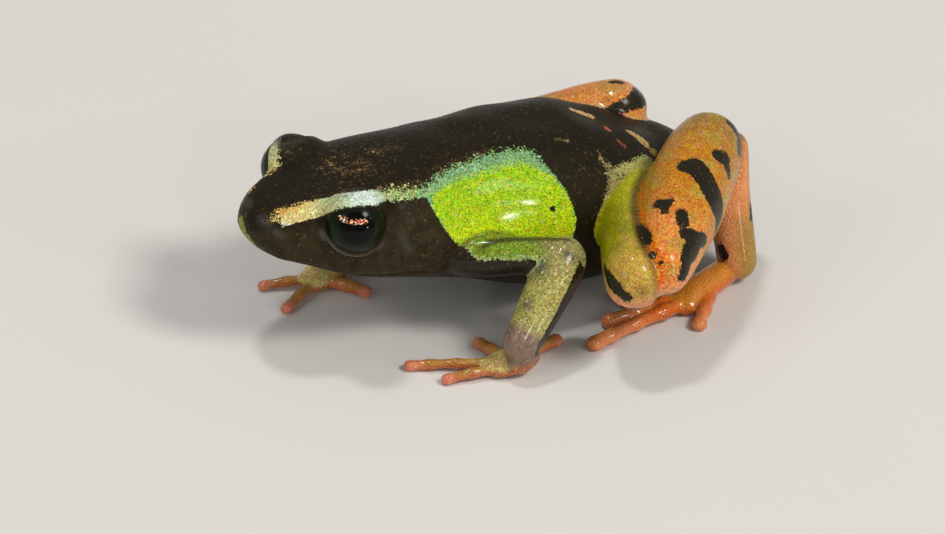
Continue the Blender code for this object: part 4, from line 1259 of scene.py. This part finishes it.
# Floor and light, in metres
FLOOR_HALF = 2.0
corners = np.array([(-1, -1, 0), (1, -1, 0), (1, 1, 0), (-1, 1, 0)]) * FLOOR_HALF
floor = mesh_from(corners, [(0, 1, 2, 3)], "floor")
floor.data.materials.append(floor_material())

world = bpy.data.worlds.new("studio")
bpy.context.scene.world = world
world.use_nodes = True
sky = world.node_tree.nodes["Background"].inputs
sky["Color"].default_value = (1.0, 0.97, 0.92, 1)
sky["Strength"].default_value = 0.3

# Square soft lights turned to the frog: place, size, power and colour
LIGHTS = {
    "key": ((0.30, 0.18, 0.42), 0.14, 1.35, (1.0, 0.97, 0.92)),
    "fill": ((0.05, -0.45, 0.30), 0.20, 0.35, (0.95, 0.97, 1.0)),
    "top": ((-0.10, -0.04, 0.47), 0.05, 0.5, (1, 1, 1)),
    "glint": ((0.48, 0.135, 0.075), 0.035, 0.12, (1, 1, 1)),
    "spark": ((0.42, 0.155, 0.21), 0.035, 0.12, (1, 1, 1)),
    "wrist_spark": ((0.41, -0.135, 0.25), 0.03, 0.1, (1, 1, 1)),
}
LIT_PLACE = Vector((0, 0, 0.004))
for name, (place, size, power, colour) in LIGHTS.items():
    light = bpy.data.lights.new(name, "AREA")
    light.shape, light.size, light.energy, light.color = "SQUARE", size, power, colour
    box = bpy.data.objects.new(name, light)
    box.location = Vector(place)
    box.rotation_euler = (LIT_PLACE - box.location).to_track_quat("-Z", "Y").to_euler()
    bpy.context.scene.collection.objects.link(box)

# The camera looks from the frog's left front, as the photo does
VIEW_TURN, VIEW_DOWN, VIEW_ROLL = np.radians([31.8, 32.6, 2.4])
DISTANCE, PIXELS_PER_MM = 330.0, 21.94
IMAGE = np.array([945.0, 534.0])
AIM, AIM_PIXEL = np.array([0.0, 12.0, 4.0]), np.array([473.7, 208.4])
SENSOR, NEAREST = 36.0, 0.01

right = np.array([np.sin(VIEW_TURN), np.cos(VIEW_TURN), 0])
away = np.array([-np.cos(VIEW_TURN), np.sin(VIEW_TURN), 0])
look = away * np.cos(VIEW_DOWN) - np.array([0, 0, np.sin(VIEW_DOWN)])
upward = away * np.sin(VIEW_DOWN) + np.array([0, 0, np.cos(VIEW_DOWN)])
rolled_right = right * np.cos(VIEW_ROLL) + upward * np.sin(VIEW_ROLL)
rolled_up = -right * np.sin(VIEW_ROLL) + upward * np.cos(VIEW_ROLL)
focal = PIXELS_PER_MM * DISTANCE
offset = (IMAGE / 2 - AIM_PIXEL) / focal
view = unit(look + offset[0] * rolled_right - offset[1] * rolled_up)
side_way = unit(np.cross(view, rolled_up))
camera = bpy.data.objects.new("camera", bpy.data.cameras.new("camera"))
camera.data.sensor_width = SENSOR
camera.data.lens = focal / IMAGE[0] * SENSOR
camera.data.clip_start = NEAREST
turned = Matrix(np.stack([side_way, np.cross(side_way, view), -view], 1).tolist()).to_4x4()
camera.matrix_world = Matrix.Translation(Vector((AIM - look * DISTANCE) * MM + FROG)) @ turned
bpy.context.scene.collection.objects.link(camera)
bpy.context.scene.camera = camera
bpy.context.scene.view_settings.view_transform = "Standard"
